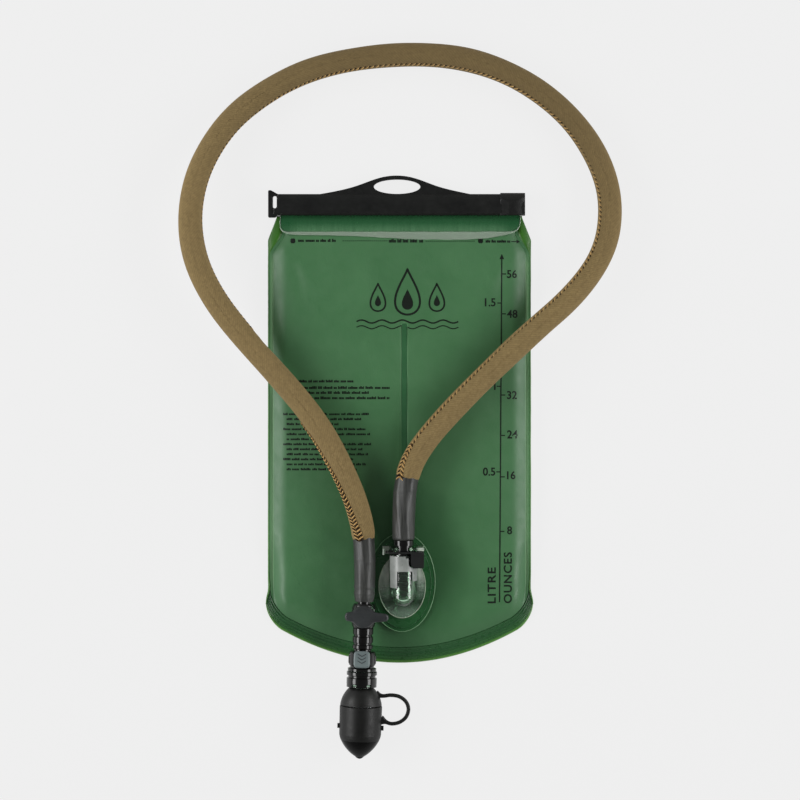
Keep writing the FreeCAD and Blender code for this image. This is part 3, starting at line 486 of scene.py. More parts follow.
# Moulded plastics: name, dark and light display values, roughness, softened edge, specular level
PLASTICS = {
    "black": ("black_satin", (22, 23, 23), (31, 32, 31), (0.34, 0.46), 0.00025, 0.3),
    "gloss": ("black_gloss", (4, 4, 4), (8, 8, 8), (0.1, 0.2), 0.00025, 0.3),
    "nose": ("nose_black", (8, 8, 8), (13, 13, 13), (0.2, 0.32), 0.0004, 0.08),
    "satin": ("cap_satin", (5, 6, 5), (12, 13, 12), (0.42, 0.54), 0.0004, 0.3),
    "soft": ("soft_black", (9, 10, 9), (17, 18, 16), (0.42, 0.54), 0.0004, 0.35),
    "lever": ("lever_grey", (38, 40, 41), (50, 53, 54), (0.28, 0.4), 0.0004, 0.4),
    "button": ("button_grey", (96, 107, 108), (112, 124, 124), (0.32, 0.46), 0.00025, 0.5),
    "collar": ("collar_grey", (118, 122, 119), (154, 158, 154), (0.25, 0.38), 0.00025, 0.5),
    "bar": ("bar_satin", (14, 15, 15), (22, 23, 22), (0.32, 0.44), 0.0012, 0.35),
    "rubber": ("seal_rubber", (12, 12, 12), (20, 20, 20), (0.4, 0.55), 0.00025, 0.5),
}

# Clear plastics: name, tint, share of milk, roughness
CLEARS = {
    "lip": ("clear_lip", (0.36, 0.46, 0.36), 0.5, (0.12, 0.25)),
    # rim: partly clear plastic, partly a painted highlight along the port foot's rim, milky and pale
    "rim": ("clear_rim", (0.62, 0.72, 0.56), 0.5, (0.05, 0.12)),
    "tube": ("clear_tube", (0.8, 0.85, 0.87), 0.1, (0.1, 0.2)),
    "silicone": ("clear_silicone", (0.75, 0.8, 0.82), 0.4, (0.2, 0.35)),
}


def make_looks():
    looks = {
        "film": film_look("green_film", rgb(60, 105, 66), rgb(69, 114, 74), paint=front_paint),
        "flap": film_look("flap_film", rgb(34, 88, 48), rgb(50, 108, 64), (0.22, 0.36), 0.08, flap_paint),
        "clear": clear_look("clear_plastic", (0.95, 0.97, 0.95), 0.02, (0.02, 0.06), port_cloud),
        "hem": hem_look(),
        "ink": ink_look(),
        "knit": knit_look(),
        "sleeve": sleeve_look(),
        "steel": metal_look(),
        "floor": floor_look(),
        "thread": thread_look("seam_thread", rgb(158, 114, 58), rgb(222, 186, 124), 0.1),
        # dark pieces between the seam's threads: painted shade in the gaps of the stitching
        "gap_shade": thread_look("seam_gap_shade", rgb(22, 14, 7), rgb(46, 29, 13), 0.0),
    }
    for key, (name, dark, light, rough) in FILMS.items():
        looks[key] = film_look(name, rgb(*dark), rgb(*light), rough)
    for key, (name, dark, light, rough, edge, specular) in PLASTICS.items():
        coat = {"Coat_Weight": 0.35, "Coat_Roughness": 0.06} if key == "gloss" else {}
        looks[key] = plastic_look(
            name, rgb(*dark), rgb(*light), rough, edge, Specular_IOR_Level=specular, **coat)
    for key, facts in CLEARS.items():
        looks[key] = clear_look(*facts)
    return looks


LOOKS = make_looks()


# ---- mesh helpers ----

def add_object(name, mesh, look, body=None):
    """Put a mesh in the scene with a look, riding on a body."""
    mesh.materials.clear()
    mesh.materials.append(LOOKS[look])
    obj = bpy.data.objects.new(name, mesh)
    bpy.context.scene.collection.objects.link(obj)
    if body:
        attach(obj, body)
    return obj


def object_from(name, points, faces, look, body="reservoir", uv=None, smooth=True):
    """A mesh from points in millimetres; uv holds one pair for each point."""
    mesh = bpy.data.meshes.new(name)
    co = np.asarray(points, float) * MM
    mesh.from_pydata([tuple(p) for p in co], [], [tuple(int(i) for i in f) for f in faces])
    if uv is not None:
        layer = mesh.uv_layers.new(name="UVMap")
        index = np.zeros(len(mesh.loops), int)
        mesh.loops.foreach_get("vertex_index", index)
        layer.data.foreach_set("uv", np.asarray(uv, float)[index].ravel())
    mesh.polygons.foreach_set("use_smooth", [smooth] * len(mesh.polygons))
    mesh.update()
    return add_object(name, mesh, look, body)


def grid_faces(rows, cols, wrap=False, start=0):
    """Quads over rows x cols points; wrap joins the last column to the first."""
    faces = []
    span = cols if wrap else cols - 1
    for i in range(rows - 1):
        for j in range(span):
            a = start + i * cols + j
            b = start + i * cols + (j + 1) % cols
            faces.append((a, b, b + cols, a + cols))
    return faces


def full_turn(count):
    """Even angles round a circle."""
    return np.linspace(0, 2 * math.pi, count, endpoint=False)


def sweep(line, side, up, half_w, half_h, ring, square=(1.0, 1.0)):
    """Rings of points round a line; side and up are rows, and a lower power is squarer."""
    c, s = np.cos(full_turn(ring)), np.sin(full_turn(ring))
    across = np.outer(half_w, np.copysign(np.abs(c) ** square[0], c))
    upward = np.outer(half_h, np.copysign(np.abs(s) ** square[1], s))
    points = line[:, None] + side[:, None] * across[..., None] + up[:, None] * upward[..., None]
    return points.reshape(-1, 3)


def flipped(faces):
    return [f[::-1] for f in faces]


def tube_faces(count, ring, start=0):
    """The wall of a tube of rings, with a flat cap at each end."""
    last = start + (count - 1) * ring
    faces = grid_faces(count, ring, True, start)
    faces.append(tuple(range(start + ring - 1, start - 1, -1)))
    faces.append(tuple(range(last, last + ring)))
    return faces


def disc_faces(rows, count):
    """Rings about a centre, closed above and below by the two points that follow them."""
    faces = flipped(grid_faces(rows, count, True))
    top = rows * count
    last = top - count
    for j in range(count):
        k = (j + 1) % count
        faces.append((top, j, k))
        faces.append((top + 1, last + k, last + j))
    return faces


def unit(rows):
    """Each row as a vector of length 1."""
    return rows / np.linalg.norm(rows, axis=1)[:, None]


def run_lengths(line):
    """How far along a line each of its points lies."""
    return np.concatenate([[0], np.cumsum(np.linalg.norm(np.diff(line, axis=0), axis=1))])


def placed(points, axis):
    """From a fitting's own axes to the object's frame."""
    return np.asarray(points) @ np.array(axis.to_3x3()).T + np.array(axis.translation)


def curve_mesh(data):
    """The plain mesh that a curve or a text gives."""
    obj = bpy.data.objects.new("curve", data)
    bpy.context.scene.collection.objects.link(obj)
    bpy.context.view_layer.update()
    mesh = bpy.data.meshes.new_from_object(obj.evaluated_get(bpy.context.evaluated_depsgraph_get()))
    bpy.data.objects.remove(obj)
    return mesh


def catmull(x, knots, values):
    """Catmull-Rom interpolation of values at whole-number knots."""
    i = np.clip(np.floor(x).astype(int), 0, len(knots) - 2)
    f = x - i
    pad = np.concatenate([[2 * values[0] - values[1]], values, [2 * values[-1] - values[-2]]])
    a, b, c, d = pad[i], pad[i + 1], pad[i + 2], pad[i + 3]
    bend = (2 * a - 5 * b + 4 * c - d) * f ** 2 + (3 * b - a - 3 * c + d) * f ** 3
    return 0.5 * (2 * b + (c - a) * f + bend)


def through(knots, count):
    """A smooth line of count points through given knots."""
    knots = np.array(knots)
    fine = np.linspace(0, len(knots) - 1, count)
    return np.stack([catmull(fine, np.arange(len(knots)), column) for column in knots.T], -1)


def thicken(obj, millimetres, offset=-1.0):
    solid = obj.modifiers.new("thickness", "SOLIDIFY")
    solid.thickness = millimetres * MM
    solid.offset = offset


def smooth_step(x):
    t = np.clip(x, 0.0, 1.0)
    return t * t * (3 - 2 * t)


def bell(x, width):
    """A smooth hump of height 1 about x = 0."""
    return np.exp(-(x / width) ** 2)


def smooth_min(a, b, k):
    """The lower of two surfaces, blended where they are closer than k."""
    h = np.clip(k - np.abs(a - b), 0, None) / k
    return np.minimum(a, b) - h * h * k / 4


def spread(count, power=1.0):
    """Even steps from -1 to 1, closer together at the ends."""
    t = np.linspace(-1, 1, count)
    return np.sin(t * math.pi / 2) * power + t * (1 - power)


def waves(x, y, seed, size):
    """A gentle undulation of about -1 to 1 made of a few crossed waves."""
    rng = np.random.default_rng(seed)
    total = np.zeros(np.broadcast(x, y).shape)
    for _ in range(7):
        angle = rng.uniform(0, math.pi)
        length = size * rng.uniform(0.6, 1.6)
        phase = rng.uniform(0, 2 * math.pi)
        total += np.sin((x * math.cos(angle) + y * math.sin(angle)) * 2 * math.pi / length + phase)
    return total / 7 * 1.6


# ---- reservoir ----

def corner_rise(x, half, radius):
    """How far a rounded corner lifts an edge near x = half."""
    inside = np.clip(np.abs(x) - (half - radius), 0, radius)
    return radius - np.sqrt(np.clip(radius ** 2 - inside ** 2, 0, None))


def seam_y(x):
    """Bottom seam of the films."""
    return -165.0 + x ** 2 / 304.0 + corner_rise(x, SEAM_X, 14.0)


def hem_y(x):
    """Outer edge of the hem."""
    return -176.4 + x ** 2 / 306.0 + corner_rise(x, CORNER_X, 12.0)


def front_half(y, side):
    """Distance of the front film's side edge from x = 0."""
    tuck = 9.4 if side < 0 else 8.4
    return SIDE_X - tuck * smooth_step((y - 118.0) / 18.0) ** 0.9


def film_half(x, y):
    """The same for the side that x is on, taken over to the seam's end at the bottom corners."""
    half = np.where(x < 0, front_half(y, -1), front_half(y, 1))
    hem = SEAM_X + (half - SEAM_X) * smooth_step((y - HEM_CORNER_Y) / 14.0)
    return np.where(y < HEM_CORNER_Y + 14.0, hem, half)


def side_profile(y):
    """Height of the film along its middle, from the seam to the neck."""
    crown = 17.2 - (y - 20.0) ** 2 / 3000.0
    face = 8.1 + (y + 158.0) * SLOPE
    neck = 12.4 - (y - 120.0) * 0.262
    shoulder = 16.0 - (y - 80.0) * 0.09
    return smooth_min(smooth_min(crown, face, 2.0), smooth_min(shoulder, neck, 3.0), 2.0)


def edge_z(y):
    """Height of the front film's side edge."""
    low = 2.4 + 4.6 * smooth_step((y - HEM_CORNER_Y) / 50.0)
    return np.minimum(low, 5.2 + 1.8 * smooth_step((146.0 - y) / 24.0))


def crease(x, y, x0, y0, x1, y1, width, depth):
    """A long soft fold between two points; positive depth is a ridge."""
    dx, dy = x1 - x0, y1 - y0
    length = math.hypot(dx, dy)
    along = ((x - x0) * dx + (y - y0) * dy) / length ** 2
    away = ((x - x0) * dy - (y - y0) * dx) / length
    ends = np.sin(math.pi * np.clip(along, 0, 1)) ** 1.2
    return depth * ends * bell(away, width)


FOLDS = [                # soft creases in the front film: two ends, width, depth
    (-88, 128, -52, 88, 5.0, 0.7), (-80, 132, -66, 70, 4.0, -0.55), (-60, 131, -44, 96, 4.5, 0.5),
    (88, 128, 56, 84, 5.0, 0.7), (80, 131, 70, 74, 4.0, -0.5), (52, 130, 40, 100, 4.5, 0.45),
    (-20, 130, -12, 92, 5.0, 0.4), (22, 130, 12, 96, 5.0, -0.35),
    (-90, -100, -52, -138, 5.0, 0.6), (90, -100, 54, -138, 5.0, 0.6),
    (-86, -84, -40, -128, 7.0, -0.4), (84, -80, 46, -124, 7.0, -0.4),
    (-32, -96, -72, -70, 5.0, 0.4), (38, -96, 78, -66, 5.0, 0.35),
    (-20, -158, -26, -128, 5.0, 0.35), (26, -158, 30, -130, 5.0, 0.35),
    (-84, 40, -78, -50, 7.0, 0.3), (86, 30, 82, -60, 6.0, 0.3),
]


def front_z(x, y):
    """Height of the front film."""
    x, y = np.broadcast_arrays(np.asarray(x, float), np.asarray(y, float))
    half = film_half(x, y)
    section = 18.2 - x ** 2 / 974.0
    base = smooth_min(section, side_profile(y), 2.5)
    for fold in FOLDS:
        base = base + crease(x, y, *fold)
    swell = smooth_step((y + 60.0) / 40.0)
    base = base + 0.28 * waves(x, y, 5, 62.0) * (0.35 + 0.65 * swell)
    weld = smooth_step((72.0 - y) / 8.0) * smooth_step((y + 80.0) / 6.0)
    base = base - 0.9 * weld * bell(x - WELD_X, 8.0)
    off = np.hypot(x - WELD_X, np.clip(y - WELD_TOP_Y, 0, None))
    low = smooth_step((y - WELD_LOW_Y) / 2.0)
    groove = smooth_step((2.2 - off) / 0.7) * low
    rim = bell(off - 2.6, 0.5) * low
    base = base - 0.55 * groove + 0.14 * rim
    from_side = np.clip((half - np.abs(x) - FLANGE_W) / 11.0, 0, 1)
    from_seam = np.clip((y - seam_y(x)) / 15.0, 0, 1)
    rise_side = 1 - (1 - from_side) ** 2.2
    rise_seam = 1 - (1 - from_seam) ** 2.2
    edge = np.minimum(edge_z(y), base)
    z = edge + (base - edge) * rise_side
    z = 2.4 + (z - 2.4) * np.where(y < -60.0, rise_seam, 1.0)
    strip = bell(half - np.abs(x) - FLANGE_W, 0.45)
    return z - 0.3 * strip * smooth_step((y + 120.0) / 10.0)


def neck_lift(y):
    """How far the back film rises towards the mouth."""
    return 4.1 * np.clip((y - 116.0) / 30.0, 0, 1)


def back_z(x, y):
    """Height of the back film, with a dimple under the centre weld."""
    edge = smooth_step((np.abs(x) - 84.0) / 11.0)
    weld = smooth_step((72 - y) / 6) * smooth_step((y - WELD_LOW_Y) / 6)
    dimple = 0.35 * bell(x - WELD_X, 6.0) * weld
    ripple = 0.22 + 0.16 * waves(x, y, 11, 48.0)
    return np.clip(ripple + dimple + 0.9 * edge ** 2, 0.05, None) + neck_lift(y)


def panel(name, rows, cols, height, look, turned=False):
    """Film from the bottom seam to the mouth; height gives z from the place in plan."""
    x = SEAM_X * spread(cols, 0.75)[None, :].repeat(rows, 0)
    y = seam_y(x) + np.linspace(0, 1, rows)[:, None] * (MOUTH_Y - seam_y(x))
    x = x * film_half(x, y) / SEAM_X
    points = np.stack([x, y, height(x, y)], -1).reshape(-1, 3)
    faces = grid_faces(rows, cols)
    if turned:
        faces = flipped(faces)
    return object_from(name, points, faces, look, uv=points[:, :2])


def make_panels():
    front = panel("front_film", 250, 170, front_z, "film")
    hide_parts("front_panel")
    back = panel("back_film", 120, 90, back_z, "back", turned=True)
    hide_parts("back_panel")


def gusset_edges(y, side):
    """Front edge, widest line and height of the front edge of a side gusset at y."""
    front = front_half(y, side)
    low = smooth_step((-121.0 - y) / 13.0)
    front = front * (1 - low) + 96.3 * low
    front = front - 0.7 * smooth_step((-112.0 - y) / 10.0) * (1 - low)
    shoulder = np.clip((y - 129.3) / 16.6, 0, 1)
    wide = 95.0 + 1.7 * low - 6.4 * shoulder
    z_front = edge_z(y) * (1 - low) + 2.3 * low
    return front, wide, z_front


def make_gusset(name, node, side):
    """A narrow pleated strip that joins the two films along one side."""
    y = np.linspace(-134.0, 147.0, 230)
    front, wide, z_front = gusset_edges(y, side)
    z_back = 0.9 + neck_lift(y)
    cols = 13
    points, uv = [], []
    for t in np.linspace(0, 1, cols):
        bulge = math.sin(math.pi * t)
        flat = front * (1 - t) + (wide - 0.8) * t
        out = flat + (wide - flat) * bulge ** 0.8
        pleat = 0.35 * waves(y, t * 40.0, 21 + side, 30.0) * bulge
        z = z_front * (1 - t) + z_back * t - 0.5 * bulge * bell(y - 132, 12)
        points.append(np.stack([side * (out - np.abs(pleat)), y, z], -1))
        uv.append(np.stack([np.full_like(y, t * 8.0), y], -1))
    faces = grid_faces(cols, len(y))
    if side > 0:
        faces = flipped(faces)
    gusset = object_from(name, np.concatenate(points), faces, "gusset", uv=np.concatenate(uv))
    thicken(gusset, 0.5, 0.0)
    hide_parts(node)


def make_hem():
    """The welded band round the bottom edge, with pressed lines along it."""
    count, across = 300, 30
    s = spread(count)
    inner = np.stack([SEAM_X * s, seam_y(SEAM_X * s) + 0.6], -1)
    outer = np.stack([CORNER_X * s, hem_y(CORNER_X * s)], -1)
    along = run_lengths(outer)
    out = np.linspace(0, 1, across)
    points = []
    for t in out:
        lines = sum(bell(t - c, 0.04) for c in (0.12, 0.32, 0.52, 0.72))
        rim = 0.45 * bell(t - 0.93, 0.06)
        edge = math.sqrt(max(0.0, 1 - max(0.0, (t - 0.94) / 0.06) ** 2))
        height = 0.2 + (1.4 + 0.6 * lines + rim) * edge
        buckle = 0.22 * waves(along, t * 6, 31, 26.0) * t * edge
        points.append(np.column_stack([inner * (1 - t) + outer * t, np.clip(height + buckle, 0.1, 2.7)]))
    for t in out[::-1]:
        points.append(np.column_stack([inner * (1 - t) + outer * t, np.full(count, 0.08)]))
    uv = [np.column_stack([np.full(count, t), along]) for t in (*out, *out[::-1])]
    rows = 2 * across
    last = (rows - 1) * count
    faces = grid_faces(rows, count)
    faces += [(last + j, last + j + 1, j + 1, j) for j in range(count - 1)]
    faces.append(tuple(range(last, -1, -count)))
    faces.append(tuple(range(count - 1, rows * count, count)))
    hem = object_from("hem_band", np.concatenate(points), faces, "hem", uv=np.concatenate(uv))
    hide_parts("bottom_hem")


LIP = [                  # the clear lip round the flap: place, and half its width
    (-86.2, 146.4, 0.2), (-86.3, 141.0, 0.2), (-85.7, 137.6, 0.3), (-82.6, 135.1, 0.7),
    (-76.0, 134.35, 1.15), (-60.0, 134.2, 1.3), (-45.0, 134.1, 1.45), (-25.0, 133.7, 1.8),
    (-8.0, 133.2, 2.3), (6.0, 132.8, 2.7), (25.0, 132.6, 2.9), (45.0, 132.6, 2.9),
    (58.0, 132.9, 2.65), (70.0, 133.7, 1.9), (79.0, 134.7, 1.0), (84.2, 136.3, 0.55),
    (86.7, 139.5, 0.25), (87.3, 143.0, 0.2), (87.4, 146.4, 0.2),
]


def lip_y(x):
    """Centre line of the clear lip along the flap's lower edge."""
    low = LIP[1:-1]
    return np.interp(x, [p[0] for p in low], [p[1] for p in low])


def over_front(x, y):
    """Height of the folded flap, which lies on the front film."""
    fall = 5.6 + np.clip(146.0 - y, 0, None) * 0.262
    return fall + 0.55 + 0.2 * np.sin(x / 9.0 + y / 5.0)


def make_flap():
    rows, cols = 16, 200
    x = 0.5 + 86.7 * spread(cols, 0.6)[None, :].repeat(rows, 0)
    y = 148.0 + (lip_y(x) - 148.0) * np.linspace(0, 1, rows)[:, None]
    points = np.stack([x, y, over_front(x, y)], -1).reshape(-1, 3)
    faces = flipped(grid_faces(rows, cols))
    flap = object_from("folded_flap", points, faces, "flap", uv=points[:, :2])
    thicken(flap, 0.5)
    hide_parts("mouth_flap")
    x, y, half = through(LIP, 360).T
    lip = band("flap_lip", np.column_stack([x, y, over_front(x, y) + 0.35]), half, 0.55, "lip")


def band(name, line, half_w, half_t, look):
    """A flattened bead along a line that lies nearly level."""
    way = unit(np.gradient(line, axis=0))
    side = unit(np.cross(UP, way))
    run = run_lengths(line)
    swell = 1 + 0.07 * np.sin(run / 3.1) * np.sin(run / 11.0)
    half_t = np.minimum(half_t, half_w)
    points = sweep(line, side, np.cross(way, side), half_w * swell, half_t * swell, 14, (0.8, 1.0))
    return object_from(name, points, flipped(tube_faces(len(line), 14)), look)


# ---- print on the front ----

def printed(name, flat, faces, lift):
    """Thin print that lies on the front film, from points in plan."""
    points = np.column_stack([flat, front_z(flat[:, 0], flat[:, 1]) + lift])
    object_from(name, points, faces, "ink", uv=flat, smooth=False)


def quads(name, shapes):
    """Print made of four-cornered patches, each cut into lengths that follow the film."""
    points, faces = [], []
    for corners in shapes:
        c = np.array(corners, float)
        long = max(np.linalg.norm(c[1] - c[0]), np.linalg.norm(c[2] - c[3]))
        parts = max(1, math.ceil(long / 3.0))
        start = len(points)
        for t in np.linspace(0, 1, parts + 1):
            points += [c[0] * (1 - t) + c[1] * t, c[3] * (1 - t) + c[2] * t]
        for a in range(start, start + 2 * parts, 2):
            faces.append((a, a + 2, a + 3, a + 1))
    printed(name, np.array(points), faces, 0.09)


def bar(x0, x1, y, height):
    return [(x0, y - height / 2), (x1, y - height / 2), (x1, y + height / 2), (x0, y + height / 2)]


def stroke(points, width):
    """Patches along an open line in plan."""
    line = np.array(points, float)
    way = unit(np.gradient(line, axis=0))
    side = np.column_stack([-way[:, 1], way[:, 0]]) * width / 2
    return [
        [line[i] - side[i], line[i + 1] - side[i + 1], line[i + 1] + side[i + 1], line[i] + side[i]]
        for i in range(len(line) - 1)
    ]


def label(text, x, y, height, align="LEFT", length=None):
    """Figures as points in plan and faces; a length turns them up the side."""
    data = bpy.data.curves.new("figure", "FONT")
    data.body = text
    data.size = 1.0
    data.resolution_u = 3
    data.offset = 0.02
    data.space_character = 1.12 if length else 1.0
    mesh = curve_mesh(data)
    co = np.array([v.co for v in mesh.vertices])
    faces = [tuple(p.vertices) for p in mesh.polygons]
    low, high = co.min(0), co.max(0)
    scale = height / (high[1] - low[1])
    flat = (co[:, :2] - low[:2]) * scale
    flat[:, 0] *= 0.95
    wide = flat[:, 0].max()
    flat[:, 1] -= height / 2
    if align == "RIGHT":
        flat[:, 0] -= wide
    if length:
        flat = np.column_stack([-flat[:, 1], flat[:, 0] * length / wide])
    flat += (x, y)
    return flat, faces


def make_labels():
    right = [
        ("56", 77.6, 104.9), ("48", 77.6, 76.1), ("32", 77.7, 17.5), ("24", 77.7, -10.9),
        ("16", 77.7, -40.4), ("8", 77.7, -80.2),
    ]
    left = [("1.5", 69.4, 84.4), ("1", 69.4, 24.2), ("0.5", 69.2, -37.8)]
    texts = [label(text, x, y, 6.0) for text, x, y in right]
    texts += [label(text, x, y, 6.0, "RIGHT") for text, x, y in left]
    texts.append(label("LITRE", 66.65, -133.0, 5.9, length=26.0))
    texts.append(label("OUNCES", 78.3, -133.0, 6.0, length=37.0))
    faces = []
    start = 0
    for flat, parts in texts:
        faces += [tuple(i + start for i in f) for f in parts]
        start += len(flat)
    printed("scale_figures", np.concatenate([flat for flat, _ in texts]), faces, 0.1)


def scale_x(y):
    """The scale line leans a little with the film."""
    return 73.9 + (y - 117.3) * 0.0064


def make_scale():
    ys = np.linspace(-132.2, 116.0, 90)
    shapes = stroke([(scale_x(y), y) for y in ys], 0.9)
    for y in (104.9, 76.1, 47.0, 17.5, -11.7, -41.6, -81.0):
        shapes.append(bar(scale_x(y), scale_x(y) + 3.2, y, 0.85))
    for y in (83.9, 23.8, -38.0):
        shapes.append(bar(scale_x(y) - 3.0, scale_x(y), y, 0.85))
    tip = scale_x(118)
    shapes.append([(tip - 1.7, 115.6), (tip + 1.7, 115.6), (tip + 0.15, 119.2), (tip - 0.15, 119.2)])
    quads("scale_line", shapes)


def word_row(x0, x1, y, height, seed):
    """A row of short dashes with word-like gaps."""
    rng = np.random.default_rng(seed)
    shapes = []
    x = x0
    while x < x1 - 1.2:
        word = rng.uniform(2.2, 7.5)
        end = min(x + word, x1)
        while x < end - 0.5:
            glyph = rng.uniform(0.7, 1.15)
            tall = height * rng.choice([0.85, 0.85, 1.15])
            shapes.append(bar(x, min(x + glyph, end), y + (tall - height * 0.85) / 2, tall))
            x += glyph + 0.16
        x += 0.8
    return shapes


def make_notes():
    """Rows of plain dashes where small print would be."""
    shapes = []
    for i, (y, x0, x1) in enumerate([(27.3, -73, -33), (22.6, -73, -7), (19.0, -73, -20), (15.2, -73, -6.8)]):
        shapes += word_row(x0, x1, y, 1.7, 40 + i)
    ends = [-22, -27, -44, -23, -21, -43, -20, -26, -22, -33, -22, -29]
    for i, end in enumerate(ends):
        shapes += word_row(-84.0 if i % 3 == 0 else -81.5, end, 3.6 - 3.62 * i, 1.5, 60 + i)
    quads("note_dashes", shapes)
    top = []
    for x in (-77.0, 58.6):
        top += stroke([(x, 127.15), (x, 130.65)], 2.2)
        top += stroke([(x - 1.75, 128.9), (x + 1.75, 128.9)], 2.2)
        top += stroke([(x - 1.35, 127.55), (x + 1.35, 130.25)], 1.6)
        top += stroke([(x - 1.35, 130.25), (x + 1.35, 127.55)], 1.6)
    top += word_row(-73.2, -44.2, 128.9, 1.9, 90)
    top += [bar(x, x + 0.8, 128.9, 0.6) for x in np.arange(-41.0, -9.0, 1.5)]
    top += word_row(-7.7, 17.5, 128.6, 2.3, 92)
    top += [bar(x, x + 0.8, 128.6, 0.6) for x in np.arange(19.0, 54.0, 1.5)]
    top += word_row(62.2, 80.0, 128.4, 1.9, 91)
    top.append(bar(80.8, 85.0, 128.4, 0.6))
    top.append([(84.6, 127.0), (87.0, 128.3), (87.0, 128.5), (84.6, 129.8)])
    quads("mouth_print", top)


def drop_outline(x, y, height, count=48):
    """A water drop, point up, centred on x, y."""
    half = height * 0.3875
    points = []
    for a in full_turn(count):
        points.append((x + half * math.sin(a) * math.sin(a / 2) ** 1.5, y + height * 0.5 * math.cos(a)))
    return points


def make_emblem():
    """A plain water mark: three drops over two wavy lines."""
    shapes = []
    for x, y, h, w in ((5.8, 92.0, 33.0, 1.5), (-15.5, 88.0, 20.0, 1.2), (27.0, 88.0, 20.0, 1.2)):
        ring = drop_outline(x, y, h)
        shapes += stroke(ring + ring[:2], w)
    for x, y, h in ((5.8, 86.5, 15.0), (-15.5, 85.6, 8.0), (27.0, 85.6, 8.0)):
        ring = drop_outline(x, y, h, 24)
        shapes += [[ring[-i], ring[i], ring[i + 1], ring[-i - 1]] for i in range(12)]
    xs = np.linspace(-31.0, 42.5, 90)
    wave = 1.1 * np.sin((xs + 31) * 2 * math.pi / 14.7)
    shapes += stroke(np.column_stack([xs, wave + 70.5]), 1.1)
    shapes += stroke(np.column_stack([xs, wave + 66.4]), 0.8)
    quads("water_mark", shapes)


# ---- drink hose ----

def spline_line():
    """The route as one smooth NURBS line, in millimetres, stepped evenly."""
    data = bpy.data.curves.new("route", "CURVE")
    data.dimensions = "3D"
    spline = data.splines.new("NURBS")
    spline.points.add(len(ROUTE) - 1)
    for point, place in zip(spline.points, ROUTE):
        point.co = (place[0] * MM, place[1] * MM, place[2] * MM, 1.0)
    spline.order_u = 3
    spline.use_endpoint_u = True
    spline.resolution_u = 24
    return np.array([v.co for v in curve_mesh(data).vertices]) / MM


class Path:
    """A line with its lengths and a frame that stays upright."""

    def __init__(self, line):
        self.line = line
        self.run = run_lengths(line)
        self.total = self.run[-1]

    def at(self, s):
        s = np.atleast_1d(np.asarray(s, float))
        return np.stack([np.interp(s, self.run, self.line[:, i]) for i in range(3)], -1)

    def frame(self, s):
        """Centre, left and up at each length."""
        s = np.atleast_1d(np.asarray(s, float))
        way = unit(self.at(np.minimum(s + 2.0, self.total)) - self.at(np.maximum(s - 2.0, 0.0)))
        left = unit(np.cross(UP, way))
        return self.at(s), left, np.cross(way, left)

    def around(self, s, psi, radius):
        """Points beside the line, psi radians from the top towards the left."""
        centre, left, up = self.frame(s)
        return centre + (np.cos(psi)[:, None] * up + np.sin(psi)[:, None] * left) * radius

    def reach_y(self, y, which):
        """Length at the first (0) or last (-1) point that lies at y or beyond."""
        return float(self.run[np.flatnonzero(self.line[:, 1] >= y)[which]])


def tube_mesh(name, path, stops, radius_at, ring, look):
    """A tube round the path; radius_at gives each ring's radii from its place and the angles."""
    centre, left, up = path.frame(stops)
    psi = full_turn(ring)
    points, uv = [], []
    for i, s in enumerate(stops):
        out = np.cos(psi)[:, None] * up[i] + np.sin(psi)[:, None] * left[i]
        points.append(centre[i] + out * radius_at(s, psi)[:, None])
        uv.append(np.column_stack([psi * HOSE_R, np.full(ring, s)]))
    faces = tube_faces(len(stops), ring)
    return object_from(name, np.concatenate(points), faces, look, "drink_hose", np.concatenate(uv))


def seam_angle(s, total):
    """Where the cover's seam sits round the hose, in radians from the top towards the left."""
    near = [0, 24, 300, 510]
    far = [total - back for back in (340, 170, 115, 88, 40, 17, 0)]
    angles = [38, 54, 56, 59, 80, 94, 232, 285, 304, 319, 343]
    return math.radians(np.interp(s, near + far, angles))


def make_hose():
    head = np.array(PORT_AXIS @ Vector((0, 0.3, 0)))
    tail = np.array(STACK_AXIS @ Vector((0, -45.0, 0)))
    path = Path(np.vstack([head, spline_line(), tail]))
    start = path.reach_y(PLUG_SLEEVE_END_Y, 0)
    end = path.reach_y(VALVE_SLEEVE_END_Y, -1)
    s0, s1 = start - SLEEVE_LAP, end + SLEEVE_LAP
    stops = np.arange(s0, s1, 1.5)

    def radius(s, psi):
        near = min(s - s0, s1 - s)
        squeeze = 1.15 * (1 - smooth_step(near / 8.0))
        off = (psi - seam_angle(s - s0, s1 - s0) + math.pi) % (2 * math.pi) - math.pi
        ridge = 0.34 * bell(off, 0.13) - 0.22 * bell(off - 0.2, 0.09)
        drift = 0.12 * math.sin(s / 23.0) + 0.08 * math.sin(s / 9.1 + 2.0)
        folds = 0.07 * np.sin(3 * psi + s / 31.0)
        return HOSE_R - 0.2 - squeeze + ridge + drift + folds

    hose = tube_mesh("drink_hose_cover", path, stops, radius, 48, "knit")
    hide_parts("hose_cover", "drink_tube")
    stitches = make_stitches(path, s0, s1)
    sleeves = make_sleeves(path, start, end)
    return hose, path.at(stops) * MM, sleeves + stitches


def capsules(name, paths, radius, look):
    """Short round threads, one through each row of points."""
    points, faces = [], []
    for n, line in enumerate(paths):
        way = unit(np.gradient(line, axis=0))
        first = unit(np.cross(way, [0.31, 0.22, 0.92]))
        t = np.clip(np.linspace(0, 1, len(line)), 0.02, 0.98)
        r = radius * (0.35 + 0.65 * np.sin(math.pi * t) ** 0.5)
        points.append(sweep(line, first, np.cross(way, first), r, r, 6))
        faces += tube_faces(len(line), 6, n * len(points[0]))
    return object_from(name, np.concatenate(points), faces, look, "drink_hose")


